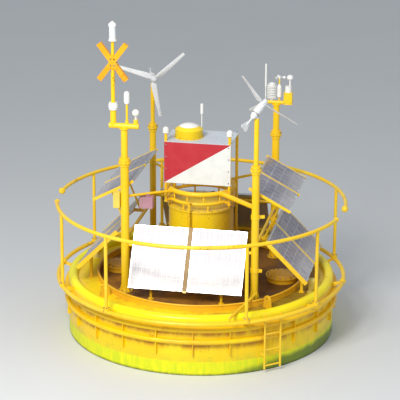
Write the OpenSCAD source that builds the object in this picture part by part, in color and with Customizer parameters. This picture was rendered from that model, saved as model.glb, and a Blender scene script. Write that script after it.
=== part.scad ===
// Discus navigation buoy with four masts, solar panels and two small wind turbines.
// Millimetres. +X is to the right, +Y to the back, +Z up. The origin is the centre
// of the waterline plane. The front is the side of the two steep solar panels.

/* [Hull] */
// Radius of the hull's side wall
hull_r = 2000; // [1800:10:2240]
// Height of the deck above the waterline
deck_z = 800; // [790:5:810]
// Height of the edge between the green boot-top and the yellow side
boot_z = 210; // [150:5:280]
// Depth of the lower edge of the side wall
chine_depth = 150; // [100:5:250]
// Depth of the flat bottom
bottom_depth = 600; // [500:10:750]
// Radius of the flat bottom
bottom_r = 750; // [600:10:1000]
// Radius of the rolled edge of the deck
rim_r = 70; // [50:2:75]
// Height of the rolled edge's centre above the deck
rim_lift = 30; // [10:1:45]
// Depth of each rub rail, out from the wall
rub_depth = 62; // [50:1:66]
// Half height of each rub rail
rub_half = 36; // [25:1:38]
// Height of the upper rub rail
rub_upper_z = 700; // [680:1:705]
// Height of the lower rub rail
rub_lower_z = 520; // [450:5:580]
// Number of upright ribs between the rub rails
rib_count = 24; // [12:1:30]
// Depth of the ribs
rib_depth = 40; // [20:1:48]
// Thickness of the ribs
rib_t = 12; // [8:1:16]
// Height of the ribs' lower ends
rib_z = 310; // [290:5:400]

/* [Deck] */
// Radius of the kerb on the deck, as a share of the hull's
kerb_share = 0.775; // [0.77:0.005:0.785]
// Height of the kerb
kerb_h = 85; // [60:1:110]
// Thickness of the kerb's wall
kerb_t = 12; // [8:1:20]
// Radius of the bar along the kerb's top
kerb_bar_r = 16; // [12:1:20]
// Gap between the hatch covers and the kerb's axis
hatch_gap = 63; // [40:1:140]
// Radius of the hatch trunks
hatch_r = 225; // [180:5:235]
// Height of the hatch trunks
hatch_h = 70; // [40:5:120]
// Width of the hatch covers' lip beyond the trunk
hatch_lip = 22; // [10:1:30]
// Radius of the lifting eyes' circle, as a share of the hull's
eye_share = 0.85; // [0.84:0.005:0.87]
// Radius of the lifting eyes' bores
eye_bore_r = 30; // [20:1:36]
// Radius of the lifting eyes' heads
eye_head_r = 65; // [55:1:75]
// Height of the lifting eyes' bores above the deck
eye_lift = 130; // [110:5:160]
// Thickness of the lifting eyes
eye_t = 30; // [20:1:40]
// Distance of the bollards in from the hull's side wall
bollard_inset = 210; // [208:2:230]
// Azimuth of the first bollard
bollard_azimuth = -14; // [-16:1:-12]
// Height of the bollards
bollard_h = 205; // [150:5:240]
// Radius of the bollards' posts
bollard_r = 44; // [35:1:50]

/* [Guard rail] */
// Distance of the two guard rings' axis out from the hull's side wall
ring_gap = 150; // [148:1:170]
// Height of the foot ring
foot_ring_z = 840; // [836:1:850]
// Radius of the foot ring's tube
foot_tube_r = 32; // [26:1:33]
// Height of the hand rail above the foot ring
rail_rise = 1140; // [900:5:1200]
// Radius of the hand rail's tube
rail_tube_r = 28; // [20:1:32]
// Radius of the stanchions
stanchion_r = 25; // [18:1:28]
// Angle of the gate between the side axis and the front rail's end
gate_angle = 14; // [10:1:18]
// Angle of the inner stanchions from the front rail's side axis
stanchion_near = 29; // [26:0.5:34]
// Angle of the outer stanchions from the side axis
stanchion_far = 62; // [56:0.5:66]
// Radius of the couplings on the rings at the side axis
coupling_r = 50; // [40:1:55]

/* [Boarding ladder] */
// Azimuth of the ladder
ladder_azimuth = -50; // [-52:1:-44]
// Distance of the ladder in from the guard rings' axis
ladder_gap = 58; // [56:1:64]
// Half width of the ladder
ladder_half = 130; // [110:5:140]
// Radius of the ladder's stiles
ladder_r = 15; // [12:1:15]
// Height of the lowest rung
rung_z = 110; // [90:5:140]
// Height from rung to rung
rung_pitch = 240; // [200:5:250]

/* [Masts] */
// Distance of the masts to each side, as a share of the hull's radius
mast_side_share = 0.48; // [0.475:0.0025:0.4875]
// Distance of the front masts ahead of the centre, as a share of the hull's radius
mast_front_share = 0.4525; // [0.45:0.0025:0.4575]
// Distance of the rear masts behind the centre, as a share of the hull's radius
mast_rear_share = 0.5; // [0.4975:0.0025:0.505]
// Radius of the left front mast below its coupling
front_mast_r = 62; // [50:1:62]
// Radius of the right rear mast below its coupling
rear_mast_r = 58; // [50:1:62]
// Radius of the left front mast above its coupling
upper_mast_r = 50; // [44:1:56]
// Radius of the masts that carry a turbine above their couplings
slim_mast_r = 32; // [30:1:36]
// Height of the sleeves round the couplings
sleeve_h = 120; // [80:5:160]
// Height of the flanged couplings on the masts
flange_z = 2780; // [2700:5:2900]
// Thickness of each coupling flange
flange_t = 16; // [10:1:22]
// Height of the left front mast's top
top_left_front = 3275; // [3200:5:3320]
// Height of the right front mast's top
top_right_front = 3540; // [3450:5:3600]
// Height of the left rear mast's top
top_left_rear = 3485; // [3400:5:3600]
// Height of the right rear mast's top
top_right_rear = 3240; // [3150:5:3300]
// Height of the lower clamp on the right front mast
clamp_low_z = 1225; // [1150:5:1300]
// Height of the upper clamp on the right front mast
clamp_high_z = 2040; // [1980:5:2080]
// Radius of the beams between the masts
beam_r = 25; // [20:1:28]
// Height of the lower side beams
side_beam_z = 1600; // [1590:1:1606]

/* [Tower] */
// Radius of the equipment house
house_r = 485; // [470:1:490]
// Height of the equipment house's roof
house_z = 1950; // [1930:5:1970]
// Radius of the roof flange
roof_r = 506; // [502:1:515]
// Distance of the tower posts to each side
post_x = 475; // [465:1:480]
// Distance of the tower posts to the front and back
post_y = 320; // [310:1:325]
// Radius of the tower posts
post_r = 22; // [18:1:24]
// Height of the top plate
plate_z = 2950; // [2900:5:3000]
// Thickness of the top plate
plate_t = 12; // [8:1:16]
// Height of the front posts' tops
post_top_z = 3085; // [3050:5:3120]
// Radius of the ring platform
platform_r = 480; // [470:1:484]
// Height of the ring platform's upper tube
platform_z = 2208; // [2195:1:2220]
// Radius of the ring platform's upper tube
platform_tube_r = 35; // [28:1:36]
// Drop from the upper tube to the lower tube
platform_drop = 145; // [130:1:155]
// Rise of the left front brace from the ring platform to its mast
brace_lift = 50; // [0:5:60]
// Radius of the upright cable pipe at the front of the house
pipe_r = 20; // [14:1:24]
// Height of the sign's lower edge
sign_z = 2330; // [2290:5:2400]
// Height of the sign
sign_h = 620; // [500:5:640]
// Half width of the sign
sign_half = 495; // [490:1:520]
// Thickness of the sign
sign_t = 8; // [5:1:12]
// Radius of the unit on the top plate
unit_r = 205; // [180:5:215]
// Height of the unit on the top plate
unit_h = 120; // [90:5:150]

/* [Topmark and lantern] */
// Distance of the topmark pole to the left of its mast
pole_shift = 160; // [150:1:175]
// Radius of the topmark pole
pole_r = 22; // [18:1:24]
// Radius of the topmark pole's sleeve below the topmark
pole_sleeve_r = 30; // [28:1:34]
// Radius of the cross arm
arm_r = 40; // [34:1:42]
// Height of the topmark's centre above the cross arm's axis
topmark_lift = 932; // [890:2:970]
// Half width of the topmark
topmark_half_w = 198; // [170:2:215]
// Half height of the topmark
topmark_half_h = 262; // [230:2:270]
// Width of the topmark's arms
topmark_arm = 78; // [64:2:90]
// Height of the lantern's foot above the topmark's centre
lantern_lift = 305; // [300:5:350]
// Height of the lantern
lantern_h = 285; // [240:5:320]

/* [Solar panels] */
// Slant length of the front and rear modules
module_slant_end = 943; // [900:1:950]
// Gap between the front modules and the masts beside them
end_clear = 63; // [50:1:100]
// Gap between the side modules and the front masts
side_clear = 13; // [10:1:50]
// Gap between the two front modules, and between the two rear ones
end_gap = 70; // [60:1:90]
// Gap between the two modules of a side pair
side_gap = 30; // [20:1:50]
// Reach of the front modules' lower edge, as a share of the hull's radius
front_share = 0.65; // [0.64:0.005:0.66]
// Reach of the rear modules' lower edge, as a share of the hull's radius
rear_share = 0.75; // [0.745:0.005:0.755]
// Reach of the lower side modules' lower edge, as a share of the hull's radius
low_share = 0.86; // [0.855:0.0025:0.865]
// Reach of the upper side modules' lower edge, as a share of the hull's radius
up_share = 0.725; // [0.72:0.0025:0.73]
// Height of the front and rear modules' lower edge
end_edge_z = 1000; // [990:5:1010]
// Height of the lower side modules' lower edge
low_edge_z = 1100; // [1090:5:1110]
// Height of the upper side modules' lower edge
up_edge_z = 2170; // [2160:5:2180]
// Slope of the front and rear modules, in degrees from level
end_slope = 58; // [56:1:60]
// Slope of the lower side modules, in degrees from level
low_slope = 45; // [44:0.5:46]
// Slope of the upper side modules, in degrees from level
up_slope = 28.1; // [27.5:0.1:28.5]
// Slant length of the lower side modules
module_slant_low = 834; // [800:2:845]
// Slant length of the upper side modules
module_slant_up = 658; // [600:2:665]
// Thickness of the edge bars along the side modules
edge_bar_t = 8; // [5:1:9]
// Distance of the side brackets in from the modules' outer edge
bracket_inset = 365; // [330:5:420]
// Thickness of the modules
module_t = 35; // [30:1:38]
// Width of the modules' frames
module_rim = 22; // [16:1:30]
// Depth of the glass pocket in the frames
pocket_depth = 8; // [7:1:12]
// Thickness of the glass laminates
laminate_t = 6; // [4:0.5:6.5]

/* [Wind turbines] */
// Length of the turbine blades from the rotor's axis
blade_tip = 600; // [500:10:640]
// Chord of the blades at the root
blade_root_chord = 104; // [80:2:110]
// Chord of the blades at the tip
blade_tip_chord = 44; // [30:1:56]
// Twist of the blades at the root, in degrees
blade_root_twist = 24; // [15:1:30]
// Twist of the blades at the tip, in degrees
blade_tip_twist = 4; // [0:1:8]
// Height of the rotor axis above the mast's top
head_lift = 95; // [80:1:110]
// Clearance between a tilted shell and the edge of its mast's top
head_clearance = 4; // [1:0.5:8]
// Distance of the rotor plane ahead of the mast's axis
rotor_ahead = 150; // [140:1:170]
// Direction the left turbine faces, turned from the front
left_heading = 20; // [0:5:355]
// Upward tilt of the left turbine's shaft
left_tilt = 0; // [0:1:20]
// Turn of the left rotor at rest
left_spin = 40; // [0:1:120]
// Direction the right turbine faces, turned from the front
right_heading = 140; // [0:5:355]
// Upward tilt of the right turbine's shaft
right_tilt = 40; // [30:1:45]
// Turn of the right rotor at rest
right_spin = 90; // [0:1:120]

/* [Keel] */
// Radius of the keel column
keel_r = 150; // [120:5:180]
// Length of the keel column
keel_h = 900; // [700:10:1100]
// Radius of the counterweight
weight_r = 430; // [380:5:480]
// Height of the counterweight
weight_h = 220; // [180:5:280]
// Height of the gussets that join the keel column to the hull
keel_gusset_h = 420; // [300:10:600]
// Distance of the gussets' outer ends in from the flat bottom's edge
keel_gusset_inset = 120; // [80:5:200]
// Radius of the mooring eye's bore
mooring_bore_r = 45; // [35:1:55]

/* [Hidden] */
$fn = 48;
// Gap between two pieces that rest against each other
seat = 0.3;
round_fn = 96;
gold = "gold";
amber = "orange";
glare = "whitesmoke";

kerb_r = kerb_share * hull_r;
hatch_x = kerb_r - hatch_gap - hatch_lip - hatch_r;
eye_circle_r = eye_share * hull_r;
bollard_circle_r = hull_r - bollard_inset;
ring_r = hull_r + ring_gap;
ladder_x = ring_r - ladder_gap;
mast_x = mast_side_share * hull_r;
mast_front = mast_front_share * hull_r;
mast_rear = mast_rear_share * hull_r;

post_azimuths_front = [-stanchion_near, -stanchion_far, stanchion_far - 180, stanchion_near - 180];
post_azimuths_rear = [stanchion_near - 1.5, stanchion_far, 180 - stanchion_far, 181.5 - stanchion_near];
rail_z = foot_ring_z + rail_rise;
pad_r = 48;
pad_top = foot_ring_z + foot_tube_r + 12;

// Masts: x, y, lower radius, upper radius, top height
m_x = 0;
m_y = 1;
m_low = 2;
m_up = 3;
m_top = 4;
masts = [
    [-mast_x, -mast_front, front_mast_r, upper_mast_r, top_left_front],
    [mast_x, -mast_front, front_mast_r - 7, slim_mast_r + 4, top_right_front],
    [-mast_x, mast_rear, rear_mast_r - 8, slim_mast_r, top_left_rear],
    [mast_x, mast_rear, rear_mast_r, upper_mast_r - 2, top_right_rear],
];
left_front = masts[0];
right_front = masts[1];
left_rear = masts[2];
right_rear = masts[3];

// Panel groups: turn about the buoy's axis, reach and height of the lower edge,
// slope from level, slant length, module width, gap between the two modules
g_turn = 0;
g_reach = 1;
g_z = 2;
g_slope = 3;
g_slant = 4;
g_width = 5;
g_gap = 6;
module_w_end = mast_x - front_mast_r - end_clear - end_gap / 2;
module_w_side = mast_front - front_mast_r - side_clear - side_gap / 2;
front_reach = front_share * hull_r;
rear_reach = rear_share * hull_r;
low_reach = low_share * hull_r;
up_reach = up_share * hull_r;
panel_groups = [
    [0, front_reach, end_edge_z, end_slope, module_slant_end, module_w_end, end_gap],
    [180, rear_reach, end_edge_z, end_slope, module_slant_end, module_w_end, end_gap],
    [-90, low_reach, low_edge_z, low_slope, module_slant_low, module_w_side, side_gap],
    [90, low_reach, low_edge_z, low_slope, module_slant_low, module_w_side, side_gap],
    [-90, up_reach, up_edge_z, up_slope, module_slant_up, module_w_side, side_gap],
    [90, up_reach, up_edge_z, up_slope, module_slant_up, module_w_side, side_gap],
];
front_group = panel_groups[0];
rear_group = panel_groups[1];
low_group = panel_groups[2];
up_group = panel_groups[4];

// Reach and height of a point up the slope of a group, at a depth behind its face
function slope_reach(g, up, deep) = g[g_reach] - up * cos(g[g_slope]) - deep * sin(g[g_slope]);
function slope_height(g, up, deep) = g[g_z] + up * sin(g[g_slope]) - deep * cos(g[g_slope]);
// Height of a level tube at a given reach that touches the back of a group
function tube_height(g, reach, r) =
    g[g_z] + ((g[g_reach] - reach) * sin(g[g_slope]) - (module_t + r + seat)) / cos(g[g_slope]);

front_beam_z = tube_height(front_group, mast_front, beam_r);
rear_beam_z = tube_height(rear_group, mast_rear, beam_r);
upper_beam_z = tube_height(up_group, mast_x, beam_r);

// Straight round tube from one point to another
module rod(from, to, r) {
    d = to - from;
    h = norm(d);
    translate(from) rotate([0, acos(d[2] / h), atan2(d[1], d[0])]) cylinder(r = r, h = h);
}

// Round tube bent into an arc about the buoy's axis
module arc_tube(radius, z, r, start, sweep) {
    rotate([0, 0, start])
        rotate_extrude(angle = sweep, $fn = 180)
            translate([radius, z]) circle(r = r, $fn = 32);
}

module hull_bottom() {
    color("yellowgreen")
        rotate_extrude($fn = round_fn)
            polygon([
                [0, -bottom_depth],
                [bottom_r, -bottom_depth],
                [hull_r, -chine_depth],
                [hull_r, boot_z],
                [0, boot_z]
            ]);
}

module hull_topsides() {
    color(gold)
        translate([0, 0, boot_z]) cylinder(r = hull_r, h = deck_z - boot_z, $fn = round_fn);
}

// Rolled edge that stands on the deck flush with the wall
module deck_rim() {
    color(gold)
        rotate_extrude($fn = round_fn)
            intersection() {
                translate([hull_r - rim_r, deck_z + rim_lift]) circle(r = rim_r);
                translate([0, deck_z]) square([hull_r, rim_r * 2]);
            }
}

module rub_rails() {
    color(gold) {
        for (z = [rub_lower_z, rub_upper_z])
            rotate_extrude($fn = round_fn) {
                translate([hull_r + seat, z - rub_half]) square([rub_depth - rub_half, rub_half * 2]);
                intersection() {
                    translate([hull_r + rub_depth - rub_half, z]) circle(r = rub_half);
                    translate([hull_r + seat, z - rub_half]) square(rub_half * 2);
                }
            }
        for (i = [0:rib_count - 1])
            rotate([0, 0, (i + 0.5) * 360 / rib_count])
                translate([hull_r + seat, -rib_t / 2, rib_z])
                    cube([rib_depth, rib_t, rub_upper_z - rib_z]);
    }
}

module foot_ring() {
    color(gold) {
        arc_tube(ring_r, foot_ring_z, foot_tube_r, 0, 360);
        for (az = concat(post_azimuths_front, post_azimuths_rear))
            rotate([0, 0, az]) {
                translate([ring_r, 0, foot_ring_z]) cylinder(r = pad_r, h = pad_top - foot_ring_z);
                foot_knee();
            }
        for (az = [0, 180])
            rotate([0, 0, az]) {
                translate([ring_r, 0, foot_ring_z]) sphere(r = coupling_r);
                foot_knee();
            }
    }
}

// Plate that carries the foot ring on the hull's wall
module foot_knee() {
    knee_t = 12;
    translate([0, knee_t / 2, 0])
        rotate([90, 0, 0])
            linear_extrude(knee_t)
                polygon([
                    [hull_r + seat, rub_upper_z + rub_half + 8],
                    [ring_r, foot_ring_z - foot_tube_r / 2],
                    [ring_r, foot_ring_z + foot_tube_r / 2],
                    [hull_r + seat, deck_z + 15]
                ]);
}

// Upright of the hand rail on its bolted foot
module stanchion() {
    translate([ring_r, 0, pad_top + seat]) cylinder(r = pad_r, h = 14);
    translate([ring_r, 0, pad_top + seat]) cylinder(r = stanchion_r, h = rail_z - pad_top - seat);
}

// Slanting tube on the deck from the right front mast's foot to the foot ring
module deck_tube() {
    r = 20;
    ring_az = -68.5;
    foot_top = foot_ring_z + foot_tube_r + seat;
    from = [mast_x + 30, -mast_front - front_mast_r - 92, deck_z + kerb_h + kerb_bar_r + r + 12];
    to = [ring_r * cos(ring_az), ring_r * sin(ring_az), deck_z + rim_lift + rim_r + r + 2];
    color(gold) {
        rod(from, to, r);
        translate([from[0], from[1], deck_z]) cylinder(r = r + 6, h = from[2] - deck_z + r);
        translate([from[0], from[1], deck_z]) cylinder(r = r + 24, h = 12);
        translate([to[0], to[1], foot_top]) cylinder(r = r - 4, h = to[2] - foot_top);
        translate(to) sphere(r = r + 4);
    }
}

module rail_front() {
    color(gold) {
        arc_tube(ring_r, rail_z, rail_tube_r, gate_angle - 180, 180 - 2 * gate_angle);
        for (az = [-gate_angle, gate_angle - 180])
            rotate([0, 0, az])
                translate([ring_r, 12, rail_z])
                    rotate([90, 0, 0]) cylinder(r = rail_tube_r + 8, h = 24);
        for (az = post_azimuths_front)
            rotate([0, 0, az]) stanchion();
    }
}

module rail_rear() {
    color(gold) {
        arc_tube(ring_r, rail_z, rail_tube_r, 0, 180);
        for (az = [0, 180])
            rotate([0, 0, az]) translate([ring_r, 0, rail_z]) sphere(r = coupling_r);
        for (az = post_azimuths_rear)
            rotate([0, 0, az]) stanchion();
    }
}

module boarding_ladder() {
    arm_z = [rib_z - 50, rub_upper_z + rub_half + 50];
    color(gold)
        rotate([0, 0, ladder_azimuth])
            difference() {
                union() {
                    for (s = [-1, 1]) {
                        translate([ladder_x, s * ladder_half, rung_z - 50])
                            cylinder(r = ladder_r, h = 3 * rung_pitch + 100);
                        for (z = arm_z)
                            rod([hull_r - 40, s * ladder_half, z], [ladder_x, s * ladder_half, z], ladder_r - 3);
                    }
                    for (i = [0:3])
                        rod([ladder_x, -ladder_half, rung_z + i * rung_pitch],
                            [ladder_x, ladder_half, rung_z + i * rung_pitch], ladder_r - 3);
                }
                cylinder(r = hull_r + seat, h = deck_z + 50, $fn = round_fn);
            }
}

module deck_kerb() {
    color(amber)
        rotate_extrude($fn = round_fn) {
            translate([kerb_r - kerb_t / 2, deck_z]) square([kerb_t, kerb_h]);
            translate([kerb_r, deck_z + kerb_h]) circle(r = kerb_bar_r);
        }
}

module deck_hatches() {
    color(amber)
        for (s = [-1, 1])
            translate([s * hatch_x, 0, deck_z]) {
                cylinder(r = hatch_r, h = hatch_h);
                translate([0, 0, hatch_h]) cylinder(r = hatch_r + hatch_lip, h = 18);
                translate([0, 0, hatch_h + 18]) cylinder(r = hatch_r - 40, h = 10);
            }
}

module lifting_eyes() {
    color(gold)
        for (az = [45:90:315])
            rotate([0, 0, az])
                translate([eye_circle_r, eye_t / 2, deck_z])
                    rotate([90, 0, 0])
                        difference() {
                            linear_extrude(eye_t) {
                                polygon([
                                    [-eye_head_r - 25, 0],
                                    [eye_head_r + 25, 0],
                                    [eye_head_r, eye_lift],
                                    [-eye_head_r, eye_lift]
                                ]);
                                translate([0, eye_lift]) circle(r = eye_head_r);
                            }
                            translate([0, eye_lift, -1]) cylinder(r = eye_bore_r, h = eye_t + 2);
                        }
}

module bollards() {
    color("khaki")
        for (az = [bollard_azimuth, bollard_azimuth + 180])
            rotate([0, 0, az])
                translate([bollard_circle_r, 0, deck_z]) {
                    cylinder(r = bollard_r + 20, h = 12);
                    cylinder(r = bollard_r, h = bollard_h - 30);
                    translate([0, 0, bollard_h - 40]) cylinder(r = bollard_r + 16, h = 40);
                }
}

module equipment_house() {
    color(gold) {
        translate([0, 0, deck_z]) cylinder(r = house_r, h = house_z - deck_z, $fn = round_fn);
        translate([0, 0, deck_z]) cylinder(r = house_r + 24, h = 16, $fn = round_fn);
        translate([0, 0, house_z - 24]) cylinder(r = roof_r, h = 24, $fn = round_fn);
    }
}

// Lower tube of the ring platform, and the front posts' closed lower ends just under it
lower_ring_z = platform_z - platform_drop;
lower_tube_r = platform_tube_r - 10;
front_post_z = lower_ring_z - lower_tube_r - 10;

module tower_posts() {
    color(gold)
        for (sx = [-1, 1]) {
            translate([sx * post_x, -post_y, front_post_z]) {
                cylinder(r = post_r + 8, h = 10);
                cylinder(r = post_r, h = post_top_z - front_post_z);
            }
            translate([sx * post_x, post_y, deck_z]) {
                cylinder(r = post_r + 12, h = 12);
                cylinder(r = post_r, h = plate_z - deck_z);
            }
        }
}

pipe_azimuth = -98.5;
pipe_reach = platform_r + 70;

// Upright pipe that takes the cables down from the ring platform to the deck
module cable_pipe() {
    color(gold)
        rotate([0, 0, pipe_azimuth])
            translate([pipe_reach, 0, deck_z]) {
                cylinder(r = pipe_r + 8, h = 12);
                cylinder(r = pipe_r, h = lower_ring_z + 45 - deck_z);
                translate([0, 0, lower_ring_z + 30 - deck_z]) cylinder(r = pipe_r + 6, h = 15);
            }
}

module ring_platform() {
    post_az = atan2(post_y, post_x);
    post_reach = norm([post_x, post_y]) - post_r - seat;
    color(gold) {
        arc_tube(platform_r, platform_z, platform_tube_r, 0, 360);
        arc_tube(platform_r, lower_ring_z, lower_tube_r, 0, 360);
        for (az = [15:30:345])
            rotate([0, 0, az])
                translate([platform_r, 0, lower_ring_z]) cylinder(r = 11, h = platform_drop);
        for (az = [22.5:45:337.5])
            rotate([0, 0, az])
                translate([platform_r, 0, house_z + seat]) cylinder(r = 13, h = lower_ring_z - house_z);
        for (az = [post_az, 180 - post_az, 180 + post_az, -post_az], z = [lower_ring_z, platform_z])
            rotate([0, 0, az])
                translate([platform_r, -16, z - 15]) cube([post_reach - platform_r, 32, 30]);
        rotate([0, 0, pipe_azimuth])
            translate([platform_r, -12, lower_ring_z - 10])
                cube([pipe_reach - pipe_r - seat - platform_r, 24, 20]);
        for (m = masts)
            rotate([0, 0, mast_azimuth(m)])
                rod(brace_point(m, platform_r), brace_point(m, brace_start), brace_r(m) + 8);
    }
}

brace_start = platform_r + platform_tube_r + 25;
function mast_azimuth(m) = atan2(m[m_y], m[m_x]);
function mast_reach(m) = norm([m[m_x], m[m_y]]);
function brace_r(m) = m == right_front ? 36 : 20;
function brace_rise(m) = m == left_front ? brace_lift : 0;
// Point of a brace's axis at a reach from the buoy's axis, before the turn to its mast
function brace_point(m, reach) =
    [reach, 0, platform_z + brace_rise(m) * (reach - platform_r) / (mast_reach(m) - platform_r)];

module tower_braces() {
    color(gold)
        for (m = masts)
            difference() {
                rotate([0, 0, mast_azimuth(m)])
                    rod(brace_point(m, brace_start), brace_point(m, mast_reach(m)), brace_r(m));
                translate([m[m_x], m[m_y], platform_z - 100]) cylinder(r = m[m_low] + seat, h = 260);
            }
}

// Instrument box that hangs under the left front brace
brace_box_reach = 950;
brace_box_size = [200, 120, 170];

module brace_box() {
    m = left_front;
    hang = brace_point(m, brace_box_reach);
    drop = brace_r(m) + 20;
    color("thistle")
        difference() {
            rotate([0, 0, mast_azimuth(m)])
                translate(hang) {
                    translate([-22, -26, -drop - 2]) cube([44, 52, drop + 2]);
                    translate([0, 0, -drop - brace_box_size[2]])
                        rotate([0, 0, -mast_azimuth(m)])
                            translate([-brace_box_size[0] / 2, -brace_box_size[1] / 2, 0]) cube(brace_box_size);
                }
            rotate([0, 0, mast_azimuth(m)])
                rod(brace_point(m, brace_start), brace_point(m, mast_reach(m)), brace_r(m) + seat);
        }
}

module sign_panel() {
    color("crimson")
        translate([-sign_half, -post_y - post_r - seat - sign_t, sign_z])
            cube([sign_half * 2, sign_t, sign_h]);
}

module top_plate() {
    color("lightsteelblue")
        difference() {
            translate([-post_x - 25, -post_y - post_r + 2, plate_z])
                cube([(post_x + 25) * 2, (post_y + post_r - 2) * 2, plate_t]);
            for (s = [-1, 1])
                translate([s * post_x, -post_y, plate_z - 1]) cylinder(r = post_r + seat, h = plate_t + 2);
        }
}

unit_pos = [-187, -33, plate_z + plate_t];

module top_unit() {
    color(gold)
        translate(unit_pos) {
            cylinder(r = unit_r, h = unit_h);
            cylinder(r = unit_r + 14, h = 14);
        }
}

module white_domes() {
    color(glare) {
        translate(unit_pos + [0, 0, unit_h])
            intersection() {
                translate([0, 0, -unit_r * 0.9]) sphere(r = unit_r * 1.32, $fn = round_fn);
                cylinder(r = unit_r - 6, h = unit_r);
            }
        for (s = [-1, 1])
            translate([s * post_x, -post_y, post_top_z]) {
                cylinder(r = 45, h = 45);
                translate([0, 0, 45]) intersection() {
                    sphere(r = 45);
                    cylinder(r = 60, h = 60);
                }
            }
    }
}

module tower_antenna() {
    color(glare)
        translate([-52, 270, plate_z + plate_t]) {
            cylinder(r = 30, h = 10);
            cylinder(r = 8, h = 280);
            translate([0, 0, 278]) cylinder(r = 22, h = 150);
        }
}

// Flanged two-part mast on a gusseted foot
module mast(m) {
    foot_r = m[m_low] + 42;
    gusset_h = 160;
    color(gold)
        translate([m[m_x], m[m_y], 0]) {
            translate([0, 0, deck_z]) cylinder(r = foot_r, h = 15);
            translate([0, 0, deck_z]) cylinder(r = m[m_low], h = flange_z - deck_z);
            translate([0, 0, flange_z - flange_t]) cylinder(r = m[m_low] + 30, h = flange_t * 2);
            translate([0, 0, flange_z - sleeve_h / 2]) cylinder(r = m[m_low] + 14, h = sleeve_h);
            translate([0, 0, flange_z]) cylinder(r = m[m_up], h = m[m_top] - flange_z);
            for (az = [45:90:315])
                rotate([0, 0, az])
                    translate([0, 5, deck_z])
                        rotate([90, 0, 0])
                            linear_extrude(10)
                                polygon([[0, 0], [foot_r - 4, 0], [foot_r - 4, 20], [m[m_low] - 2, gusset_h], [0, gusset_h]]);
        }
}

// Clamp on a mast with a lug towards one side
module mast_clamp(m, z, lug, turn) {
    color(gold)
        translate([m[m_x], m[m_y], z]) {
            cylinder(r = m[m_low] + 10, h = 60);
            rotate([0, 0, turn]) translate([m[m_low] + 4, -14, 8]) cube([lug - 4, 28, 44]);
        }
}

module mast_left_front() { mast(left_front); }

module mast_right_front() {
    mast(right_front);
    mast_clamp(right_front, clamp_low_z, 55, 0);
    mast_clamp(right_front, clamp_high_z, 80, 20);
}

module mast_left_rear() { mast(left_rear); }
module mast_right_rear() { mast(right_rear); }

module mast_beams() {
    color(gold)
        difference() {
            union() {
                rod([-mast_x, -mast_front, front_beam_z], [mast_x, -mast_front, front_beam_z], beam_r);
                rod([-mast_x, mast_rear, rear_beam_z], [mast_x, mast_rear, rear_beam_z], beam_r);
                for (s = [-1, 1], z = [side_beam_z, upper_beam_z])
                    rod([s * mast_x, -mast_front, z], [s * mast_x, mast_rear, z], beam_r);
            }
            for (m = masts)
                translate([m[m_x], m[m_y], deck_z]) cylinder(r = m[m_low] + seat, h = flange_z - deck_z);
        }
}

box_size = [100, 120, 230];
box_z = platform_z - 118;

module junction_box() {
    color(gold)
        translate([-mast_x - left_front[m_low] - seat - box_size[0], -mast_front - box_size[1] / 2, box_z])
            cube(box_size);
}

arm_z = top_left_front + arm_r + 3;
arm_top = arm_z + arm_r;
antenna_x = -mast_x + 40;
ball_x = -mast_x + 170;
disc_z = arm_z + 236;
disc_h = 105;
topmark_z = arm_z + topmark_lift;
lantern_z = topmark_z + lantern_lift;
pole_x = -mast_x - pole_shift;

module cross_arm() {
    color(amber) {
        translate([-mast_x, -mast_front, top_left_front]) cylinder(r = left_front[m_up] + 20, h = 15);
        translate([-mast_x, -mast_front, top_left_front]) cylinder(r = left_front[m_up] - 6, h = arm_r);
        rod([pole_x - 60, -mast_front, arm_z], [-mast_x + 215, -mast_front, arm_z], arm_r);
        translate([pole_x, -mast_front, arm_z]) {
            cylinder(r = pole_r, h = lantern_z - arm_z);
            cylinder(r = pole_sleeve_r, h = topmark_z - 150 - arm_z);
            cylinder(r = pole_sleeve_r + 14, h = disc_z - arm_z - seat);
        }
        translate([antenna_x, -mast_front, arm_z]) {
            cylinder(r = 16, h = 325);
            cylinder(r = 26, h = arm_r + 40);
        }
        translate([ball_x, -mast_front, arm_z]) cylinder(r = 34, h = arm_r + 62);
    }
}

module topmark() {
    arm_half = norm([topmark_half_w, topmark_half_h]);
    tilt = atan2(topmark_half_h, topmark_half_w);
    color("darkorange")
        translate([pole_x, -mast_front, topmark_z])
            difference() {
                union() {
                    for (a = [tilt, -tilt])
                        rotate([0, -a, 0])
                            translate([-arm_half, -pole_r - 8, -topmark_arm / 2])
                                cube([arm_half * 2, (pole_r + 8) * 2, topmark_arm]);
                    translate([0, 0, -105]) cylinder(r = pole_r + 12, h = 210);
                }
                translate([0, 0, -topmark_half_h - 50]) cylinder(r = pole_r + seat, h = topmark_half_h * 2 + 100);
            }
}

module lantern() {
    color(glare)
        translate([pole_x, -mast_front, lantern_z]) {
            cylinder(r = 60, h = 45);
            cylinder(r = 48, h = lantern_h - 60);
            translate([0, 0, lantern_h - 80]) cylinder(r = 56, h = 40);
            translate([0, 0, lantern_h - 40]) cylinder(r1 = 56, r2 = 12, h = 40);
        }
}

module arm_sensors() {
    color(glare) {
        difference() {
            translate([pole_x, -mast_front, disc_z]) {
                cylinder(r = 62, h = disc_h);
                translate([0, 0, disc_h * 0.3]) cylinder(r = 70, h = disc_h * 0.4);
            }
            translate([pole_x, -mast_front, arm_z]) cylinder(r = pole_sleeve_r + seat, h = topmark_lift);
        }
        translate([antenna_x, -mast_front, arm_z + 325 + seat])
            rotate_extrude()
                polygon([[0, 0], [24, 0], [38, 14], [42, 40], [42, 150], [34, 172], [18, 186], [0, 190]]);
        translate([ball_x, -mast_front, arm_top + 62 + seat]) {
            cylinder(r = 14, h = 80);
            translate([0, 0, 100]) sphere(r = 52);
        }
    }
}

// Placement of a panel group: its lower front edge lies along local X, the slope along local Y
module on_slope(g) {
    rotate([0, 0, g[g_turn]])
        translate([0, -g[g_reach], g[g_z]])
            rotate([g[g_slope], 0, 0])
                children();
}

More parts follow.
